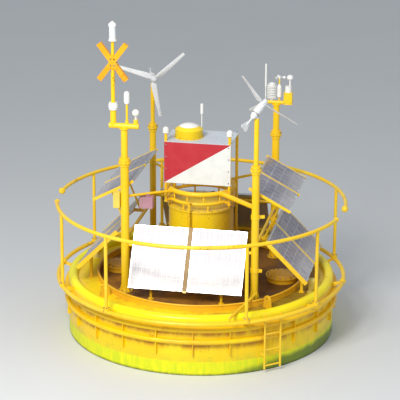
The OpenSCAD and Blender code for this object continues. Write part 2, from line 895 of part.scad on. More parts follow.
// The two module frames of a group, each with a glass pocket
module panel_pair(g) {
    color("slategray")
        on_slope(g)
            for (s = [-1, 1])
                translate([s * (g[g_gap] + g[g_width]) / 2 - g[g_width] / 2, 0, -module_t])
                    difference() {
                        cube([g[g_width], g[g_slant], module_t]);
                        translate([module_rim, module_rim, module_t - pocket_depth])
                            cube([g[g_width] - 2 * module_rim, g[g_slant] - 2 * module_rim, pocket_depth + 1]);
                    }
}

module panels_front() { panel_pair(panel_groups[0]); }
module panels_rear() { panel_pair(panel_groups[1]); }
module panels_left_lower() { panel_pair(panel_groups[2]); }
module panels_right_lower() { panel_pair(panel_groups[3]); }
module panels_left_upper() { panel_pair(panel_groups[4]); }
module panels_right_upper() { panel_pair(panel_groups[5]); }

module solar_laminates() {
    play = module_rim + seat;
    color("lightsteelblue")
        for (g = panel_groups)
            on_slope(g)
                for (s = [-1, 1])
                    translate([s * (g[g_gap] + g[g_width]) / 2 - g[g_width] / 2 + play, play, seat - pocket_depth])
                        cube([g[g_width] - 2 * play, g[g_slant] - 2 * play, laminate_t]);
}

// Frame behind a steep pair: a low cross tube, two legs and the bar between the modules
module end_bracket(g) {
    up = 150;
    deep = module_t + beam_r + seat;
    reach = slope_reach(g, up, deep);
    z = slope_height(g, up, deep);
    leg_x = g[g_width] * 0.65;
    tube_half = g[g_width];
    rotate([0, 0, g[g_turn]]) {
        rod([-tube_half, -reach, z], [tube_half, -reach, z], beam_r);
        for (s = [-1, 1]) {
            translate([s * leg_x, -reach, deck_z]) cylinder(r = 20, h = z - deck_z);
            translate([s * leg_x, -reach, deck_z]) cylinder(r = 42, h = 12);
        }
    }
    on_slope(g) {
        translate([-g[g_gap] / 2 + 8, -20, -module_t]) cube([g[g_gap] - 16, g[g_slant] + 30, module_t]);
        translate([-g[g_gap] / 2 + 8, up - 30, -module_t - 15]) cube([g[g_gap] - 16, 60, 15]);
    }
}

module end_panel_brackets() {
    color(gold) {
        end_bracket(front_group);
        end_bracket(rear_group);
    }
}

bracket_y = module_w_side - bracket_inset;

// Frame under the two side pairs: a slope rail, a leg, an arm to the beam and a strut
module side_bracket(y) {
    bar = 40;
    leg_up = 120;
    mid = module_t + seat + bar / 2;
    leg_reach = slope_reach(low_group, leg_up, mid);
    arm_up = (side_beam_z - low_group[g_z] + mid * cos(low_group[g_slope])) / sin(low_group[g_slope]);
    arm_reach = slope_reach(low_group, arm_up, mid);
    beam_face = mast_x + beam_r + seat;
    pad_up = 110;
    pad_l = 120;
    pad_mid = pad_up + pad_l / 2;
    translate([-low_group[g_reach], 0, low_group[g_z]])
        rotate([0, -low_group[g_slope], 0])
            translate([50, y - bar / 2, -module_t - seat - bar]) cube([low_group[g_slant] - 90, bar, bar]);
    translate([-leg_reach - bar / 2, y - bar / 2, deck_z])
        cube([bar, bar, slope_height(low_group, leg_up, mid) - deck_z]);
    translate([-leg_reach - bar, y - bar, deck_z]) cube([bar * 2, bar * 2, 12]);
    translate([-arm_reach, y - bar / 2, side_beam_z - bar / 2]) cube([arm_reach - beam_face, bar, bar]);
    rod([-beam_face - 45, y, side_beam_z],
        [-slope_reach(up_group, pad_mid, module_t + 12), y, slope_height(up_group, pad_mid, module_t + 12)], 15);
    translate([-up_group[g_reach], 0, up_group[g_z]])
        rotate([0, -up_group[g_slope], 0])
            translate([pad_up, y - bar / 2, -module_t - seat - 14]) cube([pad_l, bar, 14]);
}

module side_panel_brackets() {
    color(gold)
        for (turn = [0, 180], s = [-1, 1])
            rotate([0, 0, turn]) side_bracket(s * bracket_y);
}

// Flat bars along the outer edges of a side group and in the gap between its modules
module edge_bars(g, deep) {
    over = 15;
    gap_bar = g[g_gap] - 2 * seat;
    edge = g[g_gap] / 2 + g[g_width] + seat;
    on_slope(g) {
        for (x = [-edge - edge_bar_t, edge])
            translate([x, -over, -deep]) cube([edge_bar_t, g[g_slant] + 2 * over, deep + 5]);
        translate([-gap_bar / 2, -over * 2, -module_t]) cube([gap_bar, g[g_slant] + 3 * over, module_t + 5]);
    }
}

module side_edge_bars() {
    color(gold)
        for (turn = [0, 180])
            rotate([0, 0, turn]) {
                edge_bars(low_group, module_t + 22);
                edge_bars(up_group, module_t);
            }
}

module keel_column() {
    gusset_r = bottom_r - keel_gusset_inset;
    color("dimgray")
        translate([0, 0, -bottom_depth - keel_h]) {
            cylinder(r = keel_r, h = keel_h);
            cylinder(r = keel_r + 60, h = 25);
            translate([0, 0, keel_h - 25]) cylinder(r = keel_r + 60, h = 25);
            for (az = [0:60:300])
                rotate([0, 0, az])
                    translate([0, 7, keel_h])
                        rotate([90, 0, 0])
                            linear_extrude(14)
                                polygon([
                                    [0, 0],
                                    [gusset_r, 0],
                                    [gusset_r, -30],
                                    [keel_r, -keel_gusset_h],
                                    [0, -keel_gusset_h]
                                ]);
        }
}

weight_top = -bottom_depth - keel_h;

module counterweight() {
    color("dimgray")
        translate([0, 0, weight_top - weight_h])
            rotate_extrude($fn = round_fn)
                polygon([[0, 0], [weight_r - 30, 0], [weight_r, 30], [weight_r, weight_h - 30], [weight_r - 30, weight_h], [0, weight_h]]);
}

eye_z = weight_top - weight_h - 140;

module mooring_eye() {
    color("dimgray")
        difference() {
            union() {
                translate([0, 0, eye_z + 115]) cylinder(r = 150, h = 25);
                translate([-110, -22, eye_z]) cube([220, 44, 120]);
                translate([0, 22, eye_z]) rotate([90, 0, 0]) cylinder(r = 110, h = 44);
            }
            translate([0, 30, eye_z]) rotate([90, 0, 0]) cylinder(r = mooring_bore_r, h = 60);
        }
}

// Turbine heads: mast, heading, tilt and spin at rest
function hub_frame(side) = side < 0
    ? [left_rear, left_heading, left_tilt, left_spin]
    : [right_front, right_heading, right_tilt, right_spin];

// Outline of a turbine's shell: radius, and distance towards the nose, from the tail to the shoulder
shell = [[0, -130], [20, -128], [44, -95], [56, -40], [58, 40]];
shell_taper = (shell[3][0] - shell[2][0]) / (shell[3][1] - shell[2][1]);
// Neck from the mast's top to the shaft, long enough that a tilted shell clears the top's edge
function neck(m, tilt) = max(head_lift,
    (shell[3][0] - shell_taper * shell[3][1] + head_clearance + m[m_up] * (sin(tilt) - shell_taper * cos(tilt)))
        / (cos(tilt) + shell_taper * sin(tilt)));

// Places children with the shaft's nose along local -Y and the yaw axis at the origin
module at_head(side) {
    h = hub_frame(side);
    translate([h[0][m_x], h[0][m_y], h[0][m_top]])
        rotate([0, 0, h[1]])
            translate([0, 0, neck(h[0], h[2])])
                rotate([-h[2], 0, 0])
                    children();
}

hub_half = 28;

module turbine_head(side) {
    h = hub_frame(side);
    front = rotor_ahead - hub_half - seat;
    color(glare) {
        translate([h[0][m_x], h[0][m_y], h[0][m_top] + seat]) {
            cylinder(r = 30, h = neck(h[0], h[2]));
            cylinder(r = h[0][m_up], h = 16);
        }
        at_head(side) {
            rotate([90, 0, 0])
                rotate_extrude()
                    polygon(concat(shell, [[52, front], [0, front]]));
            rod([0, 110, 0], [0, 250, 0], 12);
            translate([4, 0, 0])
                rotate([0, -90, 0])
                    linear_extrude(8)
                        polygon([[-20, 190], [20, 190], [70, 300], [60, 330], [-60, 330], [-70, 300]]);
        }
    }
}

// Blade: rows of section points from the shank to the tip, closer together at the shank
blade_rows = 10;
blade_points = 14;
blade_root = 30;
shank_share = 0.15;
function blend(a, b, t) = a + (b - a) * t;
function shank_at(t) = 1 - 0.62 * pow(max(0, 1 - t / shank_share), 2);
function chord_at(t) = blend(blade_root_chord, blade_tip_chord, pow(t, 0.8)) * shank_at(t);
function twist_at(t) = blade_tip_twist + (blade_root_twist - blade_tip_twist) * pow(1 - t, 2);
function thick_at(t) = blend(0.2, 0.1, t);
function foil(a, thick) = let (c = (1 - cos(a)) / 2) [0.3 - c, sin(a) * thick * (1.15 - 0.9 * c)];
function turned(p, a) = [p[0] * cos(a) + p[1] * sin(a), p[1] * cos(a) - p[0] * sin(a)];
function blade_row(t, reach) =
    [for (i = [0:blade_points - 1])
        let (p = turned(foil(i * 360 / blade_points, thick_at(t)) * chord_at(t), twist_at(t)))
        [reach, p[1], p[0]]];

module blade() {
    rows = [for (i = [0:blade_rows - 1])
        let (t = pow(i / (blade_rows - 1), 1.5)) each blade_row(t, blend(blade_root, blade_tip, t))];
    n = blade_points;
    sides = [for (i = [0:blade_rows - 2], j = [0:n - 1])
        each [[i * n + j, i * n + (j + 1) % n, (i + 1) * n + j],
              [i * n + (j + 1) % n, (i + 1) * n + (j + 1) % n, (i + 1) * n + j]]];
    ends = [[for (j = [n - 1:-1:0]) j], [for (j = [0:n - 1]) (blade_rows - 1) * n + j]];
    polyhedron(rows, concat(sides, ends));
}

module turbine_rotor(side) {
    h = hub_frame(side);
    color(glare)
        at_head(side)
            translate([0, -rotor_ahead, 0])
                rotate([0, -h[3], 0]) {
                    rotate([90, 0, 0])
                        rotate_extrude()
                            polygon([[0, -hub_half], [46, -hub_half], [50, 0], [46, 30], [34, 62], [16, 80], [0, 84]]);
                    for (k = [0:2])
                        rotate([0, k * 120, 0]) blade();
                }
}

module turbine_head_left() { turbine_head(-1); }
module turbine_rotor_left() { turbine_rotor(-1); }
module turbine_head_right() { turbine_head(1); }
module turbine_rotor_right() { turbine_rotor(1); }

// Instrument bar on the right rear mast
bar_r = 28;
bar_z = top_right_rear + 40;
bar_top = bar_z + bar_r;
cup_x = 40;
cup_post_top = bar_top + 340;

block_x = 115;
block_w = 125;
block_top = bar_z + 165;

module weather_head() {
    color(amber)
        translate([mast_x, mast_rear, 0]) {
            translate([0, 0, top_right_rear]) cylinder(r = right_rear[m_up] + 20, h = 15);
            translate([0, 0, top_right_rear]) cylinder(r = right_rear[m_up] - 8, h = bar_r);
            rod([-200, 0, bar_z], [block_x + block_w, 0, bar_z], bar_r);
            translate([block_x, -55, bar_z - 20]) cube([block_w, 110, block_top - bar_z + 20]);
            translate([cup_x, 0, bar_z]) cylinder(r = 11, h = cup_post_top - bar_z);
        }
}

module weather_sensors() {
    plate_h = 26;
    shield_x = -72;
    color(glare)
        translate([mast_x, mast_rear, bar_top + seat]) {
            translate([-168, 0, 0]) cylinder(r = 9, h = 220);
            translate([-168, 0, 210]) cylinder(r = 14, h = 350);
            translate([shield_x, 0, 0]) cylinder(r = 24, h = 50);
            for (i = [0:7])
                translate([shield_x, 0, 45 + i * plate_h]) {
                    cylinder(r1 = 76, r2 = 66, h = 10);
                    cylinder(r = 44, h = plate_h);
                }
            translate([shield_x, 0, 45 + 8 * plate_h]) cylinder(r1 = 60, r2 = 20, h = 24);
            difference() {
                translate([cup_x, 0, 60]) {
                    cylinder(r = 34, h = 150);
                    translate([0, 0, 150]) cylinder(r1 = 34, r2 = 18, h = 40);
                }
                translate([cup_x, 0, 0]) cylinder(r = 11 + seat, h = 320);
            }
            translate([block_x + block_w / 2, 0, block_top - bar_top]) {
                cylinder(r = 50, h = 95);
                translate([22, 0, 90]) cylinder(r = 12, h = 110);
                translate([22, 0, 195]) receiver_dome();
            }
        }
}

// Flattened dome of the receiver on the right
module receiver_dome() {
    rotate_extrude()
        polygon([[0, 0], [28, 0], [46, 14], [50, 32], [44, 54], [26, 70], [0, 76]]);
}

module cup_rotor() {
    reach = 72;
    color(glare)
        translate([mast_x + cup_x, mast_rear, cup_post_top + seat]) {
            cylinder(r = 15, h = 44);
            for (k = [0:2])
                rotate([0, 0, k * 120]) {
                    rod([0, 0, 24], [reach - 14, 0, 24], 4);
                    translate([reach, 0, 24])
                        difference() {
                            sphere(r = 22);
                            sphere(r = 19);
                            translate([-30, 0, -30]) cube([60, 30, 60]);
                        }
                }
        }
}

hull_bottom();
hull_topsides();
deck_rim();
rub_rails();
foot_ring();
rail_front();
rail_rear();
boarding_ladder();
deck_tube();
deck_kerb();
deck_hatches();
lifting_eyes();
bollards();
equipment_house();
tower_posts();
cable_pipe();
ring_platform();
tower_braces();
brace_box();
sign_panel();
top_plate();
top_unit();
white_domes();
tower_antenna();
mast_left_front();
mast_right_front();
mast_left_rear();
mast_right_rear();
mast_beams();
junction_box();
cross_arm();
topmark();
lantern();
arm_sensors();
panels_front();
panels_rear();
panels_left_lower();
panels_right_lower();
panels_left_upper();
panels_right_upper();
solar_laminates();
end_panel_brackets();
side_panel_brackets();
side_edge_bars();
keel_column();
counterweight();
mooring_eye();
turbine_head_left();
turbine_rotor_left();
turbine_head_right();
turbine_rotor_right();
weather_head();
weather_sensors();
cup_rotor();
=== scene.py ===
import math

import bmesh
import bpy
from mathutils import Matrix, Vector


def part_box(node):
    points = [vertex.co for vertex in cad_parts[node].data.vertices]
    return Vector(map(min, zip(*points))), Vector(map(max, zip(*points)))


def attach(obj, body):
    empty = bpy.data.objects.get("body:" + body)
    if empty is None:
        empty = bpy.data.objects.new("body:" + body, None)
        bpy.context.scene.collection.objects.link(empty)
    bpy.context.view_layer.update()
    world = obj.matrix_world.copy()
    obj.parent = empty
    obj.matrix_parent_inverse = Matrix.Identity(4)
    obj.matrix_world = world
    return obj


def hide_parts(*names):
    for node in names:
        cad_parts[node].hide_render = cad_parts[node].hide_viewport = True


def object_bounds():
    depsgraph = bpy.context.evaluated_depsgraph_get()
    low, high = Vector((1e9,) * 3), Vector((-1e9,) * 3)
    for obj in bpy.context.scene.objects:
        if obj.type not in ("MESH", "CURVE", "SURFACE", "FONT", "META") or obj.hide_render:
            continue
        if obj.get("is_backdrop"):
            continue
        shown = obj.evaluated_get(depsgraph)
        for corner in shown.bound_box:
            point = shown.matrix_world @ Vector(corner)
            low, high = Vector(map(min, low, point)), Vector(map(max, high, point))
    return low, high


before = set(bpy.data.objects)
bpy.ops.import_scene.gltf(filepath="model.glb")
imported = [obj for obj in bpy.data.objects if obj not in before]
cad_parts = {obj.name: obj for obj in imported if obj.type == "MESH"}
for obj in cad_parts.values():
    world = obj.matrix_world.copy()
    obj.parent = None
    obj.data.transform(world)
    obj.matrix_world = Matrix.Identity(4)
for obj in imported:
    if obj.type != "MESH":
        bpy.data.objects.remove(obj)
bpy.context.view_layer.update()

# ---------------------------------------------------------------------------
# Hull side and deck: a welded steel drum, spray-painted golden yellow. The deck
# inside the rolled edge has a darker, worn non-slip coat, darker still inside the kerb
# under the modules with painted shade, and rust runs down from the fittings and the
# rub rails, mixed with painted shadow below the rails. Painted light makes the deck
# and its rolled edge paler on the left, and painted shade darkens the deck on the right.
# ---------------------------------------------------------------------------


class Socket:
    """An output of one material's nodes. Sums written with it add the Math nodes."""

    def __init__(self, finish, output):
        self.finish = finish
        self.output = output

    def maths(self, operation, a, b=0.0):
        return self.finish.node("Math", {"operation": operation}, {0: a, 1: b})

    def __add__(self, other):
        return self.maths("ADD", self, other)

    __radd__ = __add__

    def __sub__(self, other):
        return self.maths("SUBTRACT", self, other)

    def __rsub__(self, other):
        return self.maths("SUBTRACT", other, self)

    def __mul__(self, other):
        return self.maths("MULTIPLY", self, other)

    __rmul__ = __mul__

    def __truediv__(self, other):
        return self.maths("DIVIDE", self, other)

    def __pow__(self, other):
        return self.maths("POWER", self, other)

    def __gt__(self, other):
        return self.maths("GREATER_THAN", self, other)

    def __lt__(self, other):
        return self.maths("LESS_THAN", self, other)

    def size(self):
        return self.maths("ABSOLUTE", self)

    def part(self):
        return self.maths("FRACT", self)

    def rise(self, low, high):
        """0 below low, 1 above high and smooth between them."""
        return self.finish.node(
            "MapRange", {"interpolation_type": "SMOOTHSTEP"},
            {"Value": self, "From Min": low, "From Max": high})


class Finish:
    """One procedural material, built round its Principled shader. A value that is the
    same all over is given by its socket's name, with _ for each space."""

    def __init__(self, name, **uniform):
        self.material = bpy.data.materials.new(name)
        self.material.use_nodes = True
        self.tree = self.material.node_tree
        self.shader = self.tree.nodes["Principled BSDF"]
        for socket, value in uniform.items():
            self.shader.inputs[socket.replace("_", " ")].default_value = value
        self.place = self.node("TexCoord", out="Object")

    def node(self, kind, settings={}, sockets={}, out=0):
        """Adds a node of a kind, with its settings and the values or links of its sockets."""
        made = self.tree.nodes.new("ShaderNode" + kind)
        for name, value in settings.items():
            setattr(made, name, value)
        for name, value in sockets.items():
            if isinstance(value, Socket):
                self.tree.links.new(value.output, made.inputs[name])
            else:
                made.inputs[name].default_value = value
        return Socket(self, made.outputs[out])

    def noise(self, scale, detail=4, rough=0.55, stretch=(1, 1, 1), shift=(0, 0, 0)):
        at = self.node("Mapping", {}, {"Vector": self.place, "Scale": stretch, "Location": shift})
        return self.node("TexNoise", {}, {"Vector": at, "Scale": scale, "Detail": detail,
                                          "Roughness": rough})

    def mix(self, factor, a, b):
        """Colour a, turning into colour b as the factor goes from 0 to 1."""
        a, b = [(*c, 1) if isinstance(c, tuple) else c for c in (a, b)]
        return self.node("Mix", {"data_type": "RGBA"}, {0: factor, 6: a, 7: b}, out=2)

    def across(self, vector=None):
        """The three parts of a vector: of the Object coordinates, in metres, if none is given."""
        split = self.node("SeparateXYZ", {}, {0: vector or self.place})
        return [Socket(self, o) for o in split.output.node.outputs]

    def bump(self, height, strength=0.3, distance=0.002):
        self.set("Normal", self.node("Bump", {}, {"Height": height, "Strength": strength,
                                                  "Distance": distance}))

    def set(self, socket, value):
        self.tree.links.new(value.output, self.shader.inputs[socket])


RUST = (0.19, 0.055, 0.012)
GRIME = (0.16, 0.11, 0.045)


def enamel(name, paint, faded, wear=1.0, gloss=0.32):
    """Marine enamel: uneven fading, rust chips with runs below them, and orange peel.
    It comes in parts, so that more can be added before seal() joins them."""
    made = Finish(name, Coat_Weight=0.12, Coat_Roughness=0.2, Specular_IOR_Level=0.3)
    cloud = made.noise(1.7, 5, 0.6)
    speck = made.noise(38, 6, 0.65)
    runs = made.noise(7, 5, 0.6, stretch=(1, 1, 0.09))
    region = made.noise(2.3, 3, 0.5, shift=(3, 1, 7))
    chips = (speck * 0.65 + region * 0.5).rise(0.745 - 0.03 * wear, 0.775 - 0.03 * wear)
    streak = (runs * 0.7 + region * 0.4).rise(0.64 - 0.03 * wear, 0.84) * 0.42 * wear
    smear = made.noise(3.5, 6, 0.7, stretch=(1, 1, 0.35), shift=(9, 4, 2)).rise(0.50, 0.85)
    colour = made.mix(cloud.rise(0.35, 0.70), paint, faded)
    colour = made.mix(smear * 0.22 * wear, colour, GRIME)
    colour = made.mix(streak, colour, (0.55, 0.22, 0.02))
    colour = made.mix(chips * 0.85, colour, RUST)
    dirt = chips * 0.45 + streak * 0.25 + smear * 0.12
    height = made.noise(210, 2, 0.5) * 0.25 + speck * 0.3 - chips * 1.2
    return made, colour, dirt, height, gloss


def seal(parts):
    """Joins an enamel's colour, gloss and height to its shader."""
    made, colour, dirt, height, gloss = parts
    made.set("Base Color", colour)
    made.set("Roughness", dirt + made.noise(24, 4, 0.6) * 0.16 + (gloss - 0.08))
    made.bump(height, 0.35, 0.0016)
    return made.material


def dress(finish, *names):
    """Gives the nodes' own objects a finish."""
    for name in names:
        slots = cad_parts[name].data.materials
        slots.clear()
        slots.append(finish)


GOLD = (0.90, 0.60, 0.004)
GOLD_FADED = (0.92, 0.68, 0.012)
LEMON = (0.93, 0.80, 0.006)

DECK_TOP = 0.80
kerb_foot, deck_edge, hull_side = 1.55, 1.80, 1.99
rub_rail_low, rub_rail_high, plate_seam = 0.455, 0.635, 0.30
hull_plates = 8

made, colour, dirt, height, gloss = enamel("hull_enamel", GOLD, GOLD_FADED, 1.15)
x, y, z = made.across()
reach = (x * x + y * y) ** 0.5
wobble = made.noise(4, 5, 0.6)
on_deck = (z > DECK_TOP - 0.003) * (1 - (reach + wobble * 0.10).rise(deck_edge, deck_edge + 0.06))
grit = made.noise(330, 2, 0.5)
trodden = made.noise(2.6, 6, 0.65, shift=(2, 5, 1)).rise(0.40, 0.66)
coat = made.mix(trodden, (0.90, 0.66, 0.008), (0.62, 0.34, 0.012))
# Painted light: the deck coat turns paler towards the left, the side the light comes from.
coat = made.mix((0 - x).rise(0.9, 1.6) * 0.7, coat, (0.92, 0.70, 0.008))
# Inside the kerb, under the modules, the coat is darker brown: partly wear, partly painted shade.
kerbed = 1 - (reach + wobble * 0.04).rise(kerb_foot, kerb_foot + 0.03)
worn_and_shaded = made.mix(trodden, (0.38, 0.165, 0.018), (0.14, 0.060, 0.018))
coat = made.mix(kerbed, coat, worn_and_shaded)
coat = made.mix(made.noise(11, 6, 0.7).rise(0.58, 0.78) * 0.5, coat, (0.12, 0.055, 0.020))
# Painted shade: the deck turns dark brown towards the right, where the side modules shade it.
coat = made.mix(x.rise(0.3, 1.3) * 0.68, coat, (0.085, 0.038, 0.016))
# Below each rub rail the side turns brown: partly rust, partly painted shadow under the rail.
rail_shadow_and_rust = ((1 - (z - rub_rail_low).size().rise(0.0, 0.095))
               + (1 - (z - rub_rail_high).size().rise(0.0, 0.08)))
side = (reach > hull_side) * made.noise(5, 6, 0.7, stretch=(1, 1, 0.3)).rise(0.36, 0.60)
turn = y.maths("ARCTAN2", y, x) * (hull_plates / math.tau)
on_side = reach > hull_side - 0.09
seam = (1 - ((turn + wobble * 0.002).part() - 0.5).size().rise(0.0, 0.0028)) * on_side
seam = seam + (1 - (z - plate_seam + wobble * 0.002).size().rise(0.0, 0.007)) * on_side
colour = made.mix(rail_shadow_and_rust * side * 0.85, colour, (0.48, 0.20, 0.008))
splash = (0.36 - z).rise(0.0, 0.16) * side
colour = made.mix(splash * 0.55, colour, (0.50, 0.52, 0.03))
colour = made.mix(on_deck, colour, coat)
height = height + grit * on_deck * 1.8 + seam * (grit + 1.5)
dress(seal((made, colour, dirt + on_deck * 0.35, height, gloss)), "hull_topsides")

rail_paint = seal(enamel("rub_rail_enamel", GOLD, (0.86, 0.50, 0.015), 1.3, 0.40))
dress(rail_paint, "rub_rails")
made, colour, dirt, height, gloss = enamel("rolled_edge_enamel", LEMON, (0.93, 0.73, 0.010), 0.9)
x = made.across()[0]
# Painted light: the rolled edge turns paler lemon towards the left, the side the light comes from.
colour = made.mix((0 - x).rise(0.8, 1.9) * 0.8, colour, (0.95, 0.90, 0.010))
dress(seal((made, colour, dirt, height, gloss)), "deck_rim")

# ---------------------------------------------------------------------------
# Boot-top and bottom: antifouling paint that has turned yellow-green with algae,
# darker and slimy at the waterline, with a wavy upper edge and weed hanging in
# the splash zone. Towards the right the dark wet band is taller and darker: painted
# shade. Barnacles sit on the part that is always wet.
# ---------------------------------------------------------------------------
made = Finish("boot_top_algae", Coat_Weight=0.15, Coat_Roughness=0.2, Specular_IOR_Level=0.3)
x, y, z = made.across()
boot_top = 0.175
lap = made.noise(5, 6, 0.65, stretch=(1, 1, 0.5)) * 0.10
weed = made.noise(16, 6, 0.7, stretch=(1, 1, 0.22))
lime = made.mix(weed.rise(0.35, 0.65), (0.82, 0.80, 0.008), (0.60, 0.70, 0.012))
colour = made.mix((boot_top - z + lap).rise(-0.04, 0.06), (0.90, 0.70, 0.008), lime)
# Painted shade: towards the right the wet band rises higher and turns darker.
shaded = (x * 0.8 - y * 0.35).rise(0.78, 1.9)
wet_and_shaded = (0 - z + lap + shaded * shaded * 0.19).rise(0.0, 0.10)
colour = made.mix(wet_and_shaded * (shaded * 0.55 + 0.35), colour, (0.07, 0.14, 0.018))
under_water = (0.02 - z + lap * 0.5).rise(0.0, 0.06)
colour = made.mix(under_water, colour, (0.035, 0.05, 0.018))
shells = made.node("TexVoronoi", {"feature": "F1"},
                   {"Vector": made.place, "Scale": 45.0, "Randomness": 1.0})
crust = made.noise(3.2, 5, 0.6, shift=(4, 4, 4)).rise(0.50, 0.60) * (1 - shells.rise(0.10, 0.42))
crust = crust * (-0.04 - z).rise(0, 0.05)
colour = made.mix(crust, colour, (0.50, 0.47, 0.38))
made.set("Base Color", colour)
made.set("Roughness", 0.48 - wet_and_shaded * 0.18 + weed * 0.18 + crust * 0.3)
made.bump(weed * 0.7 + crust * 3.0 + made.noise(120, 3, 0.6) * 0.3, 0.5, 0.004)
dress(made.material, "hull_bottom")

# ---------------------------------------------------------------------------
# Guard rail: two rings of galvanised tube painted golden yellow, on uprights
# whose round feet are bolted to the foot ring. The couplings at the sides and
# the feet show bare, rusty edges.
# ---------------------------------------------------------------------------
TUBE_GOLD, TUBE_FADED = (0.92, 0.57, 0.012), (0.90, 0.62, 0.04)
tube_paint = seal(enamel("tube_enamel", TUBE_GOLD, TUBE_FADED, 0.9, 0.30))
dress(tube_paint, "foot_ring", "rail_front", "rail_rear", "boarding_ladder", "deck_tube")


def pick(*pieces):
    """Selects only these pieces, with the first one active."""
    bpy.ops.object.select_all(action="DESELECT")
    for piece in pieces:
        piece.select_set(True)
    bpy.context.view_layer.objects.active = pieces[0]


def choose(test, kind="faces"):
    """In edit mode, selects the faces whose middle and normal pass a test, or the edges
    whose middle and direction do."""
    piece = bpy.context.edit_object
    mesh = bmesh.from_edit_mesh(piece.data)
    for face in mesh.faces:
        face.select = False
    for edge in mesh.edges:
        edge.select = False
    for vertex in mesh.verts:
        vertex.select = False
    for part in getattr(mesh, kind):
        if kind == "faces":
            middle, facing = part.calc_center_median(), part.normal
        else:
            start, end = [vertex.co for vertex in part.verts]
            middle, facing = (start + end) / 2, (end - start).normalized()
        if test(middle, facing):
            part.select = True
    mesh.select_flush_mode()
    bmesh.update_edit_mesh(piece.data)


def edit(piece):
    """Opens one piece in edit mode, for work on its faces."""
    pick(piece)
    bpy.ops.object.mode_set(mode="EDIT")
    bpy.ops.mesh.select_mode(type="FACE")


def done():
    """Closes edit mode and gives back the piece."""
    bpy.ops.object.mode_set(mode="OBJECT")
    return bpy.context.object


def settle(piece, name, body, finish, smooth=35):
    """Names a finished piece, puts its place in its mesh and lets it ride on its body."""
    pick(piece)
    piece.name = piece.data.name = name
    bpy.ops.object.transform_apply(location=True, rotation=True, scale=True)
    bpy.ops.object.shade_smooth_by_angle(angle=math.radians(smooth))
    piece.data.materials.clear()
    piece.data.materials.append(finish)
    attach(piece, body)


def bolt(radius):
    """A hexagon head on a round washer, its seat at the origin and its top along +Z."""
    washer_t, head_h = radius * 0.25, radius * 1.2
    bpy.ops.mesh.primitive_cylinder_add(vertices=16, radius=radius * 1.35, depth=washer_t,
                                        location=(0, 0, washer_t / 2))
    washer = bpy.context.object
    bpy.ops.mesh.primitive_cylinder_add(vertices=6, radius=radius, depth=head_h,
                                        location=(0, 0, washer_t + head_h / 2))
    head = bpy.context.object
    edit(head)
    choose(lambda at, facing: facing.z > 0.9)
    bpy.ops.mesh.bevel(offset=radius * 0.14, segments=1, affect="EDGES")
    done()
    pick(head, washer)
    bpy.ops.object.join()
    bpy.ops.object.transform_apply(location=True, rotation=True, scale=True)
    return bpy.context.object


def repeat(pattern, places):
    """Copies of one modelled piece, each with its own mesh, joined into one object."""
    copies = []
    for place in places:
        copy = pattern.copy()
        copy.data = pattern.data.copy()
        copy.data.transform(place)
        bpy.context.collection.objects.link(copy)
        copies.append(copy)
    bpy.data.objects.remove(pattern)
    pick(*copies)
    if len(copies) > 1:
        bpy.ops.object.join()
    return bpy.context.object


def polar(radius, azimuth, z=0.0):
    """A point at a radius and azimuth round the buoy's axis."""
    a = math.radians(azimuth)
    return Vector((radius * math.cos(a), radius * math.sin(a), z))


def ring_of(centre, radius, z, count, start=0.0):
    """Places on a level circle round a centre, each turned to face outwards."""
    middle = Vector((centre[0], centre[1], 0))
    azimuths = [start + i * 360 / count for i in range(count)]
    return [Matrix.Translation(middle + polar(radius, azimuth, z))
            @ Matrix.Rotation(math.radians(azimuth), 4, "Z") for azimuth in azimuths]


made = Finish("zinc_bolt", Metallic=0.85)
patina = made.noise(60, 4, 0.6)
stain = made.noise(9, 4, 0.6).rise(0.48, 0.62)
grey = made.mix(patina, (0.50, 0.49, 0.46), (0.34, 0.34, 0.33))
made.set("Base Color", made.mix(stain, grey, (0.24, 0.09, 0.02)))
made.set("Roughness", patina * 0.25 + stain * 0.25 + 0.30)
made.bump(patina, 0.3, 0.0005)
zinc = made.material

UPRIGHTS = [-29, -62, -118, -151, 27.5, 62, 118, 152.5]
ring_r, rail_foot_top, foot_circle = 2.15, 0.8983, 0.0365
feet = [place for azimuth in UPRIGHTS
        for place in ring_of(polar(ring_r, azimuth), foot_circle, rail_foot_top, 4, azimuth + 45)]
settle(repeat(bolt(0.008), feet), "rail_foot_bolts", "buoy", zinc)

# ---------------------------------------------------------------------------
# Deck fittings: a kerb with a round bar on top, two bolted hatches on trunks,
# four lifting eyes cut from thick plate, and two cast bollards. All are painted
# the deck's orange or the frame's yellow and worn at their edges.
# ---------------------------------------------------------------------------
fitting_paint = seal(enamel("deck_fitting_enamel", (0.86, 0.46, 0.012), (0.78, 0.46, 0.03),
                            wear=1.5, gloss=0.42))
dress(fitting_paint, "deck_kerb", "deck_hatches")
eye_paint = seal(enamel("lifting_eye_enamel", (0.90, 0.52, 0.012), (0.80, 0.5, 0.03),
                        wear=2.0, gloss=0.36))
dress(eye_paint, "lifting_eyes")
bollard_paint = seal(enamel("bollard_enamel", (0.82, 0.66, 0.16), (0.70, 0.62, 0.26),
                            wear=1.8, gloss=0.34))
dress(bollard_paint, "bollards")

hatch_x, hatch_top, hatch_circle = 1.24, 0.888, 0.216
hatch_bolts = [place for side in (-1, 1)
               for place in ring_of((side * hatch_x, 0), hatch_circle, hatch_top, 16)]
settle(repeat(bolt(0.009), hatch_bolts), "hatch_bolts", "buoy", zinc)

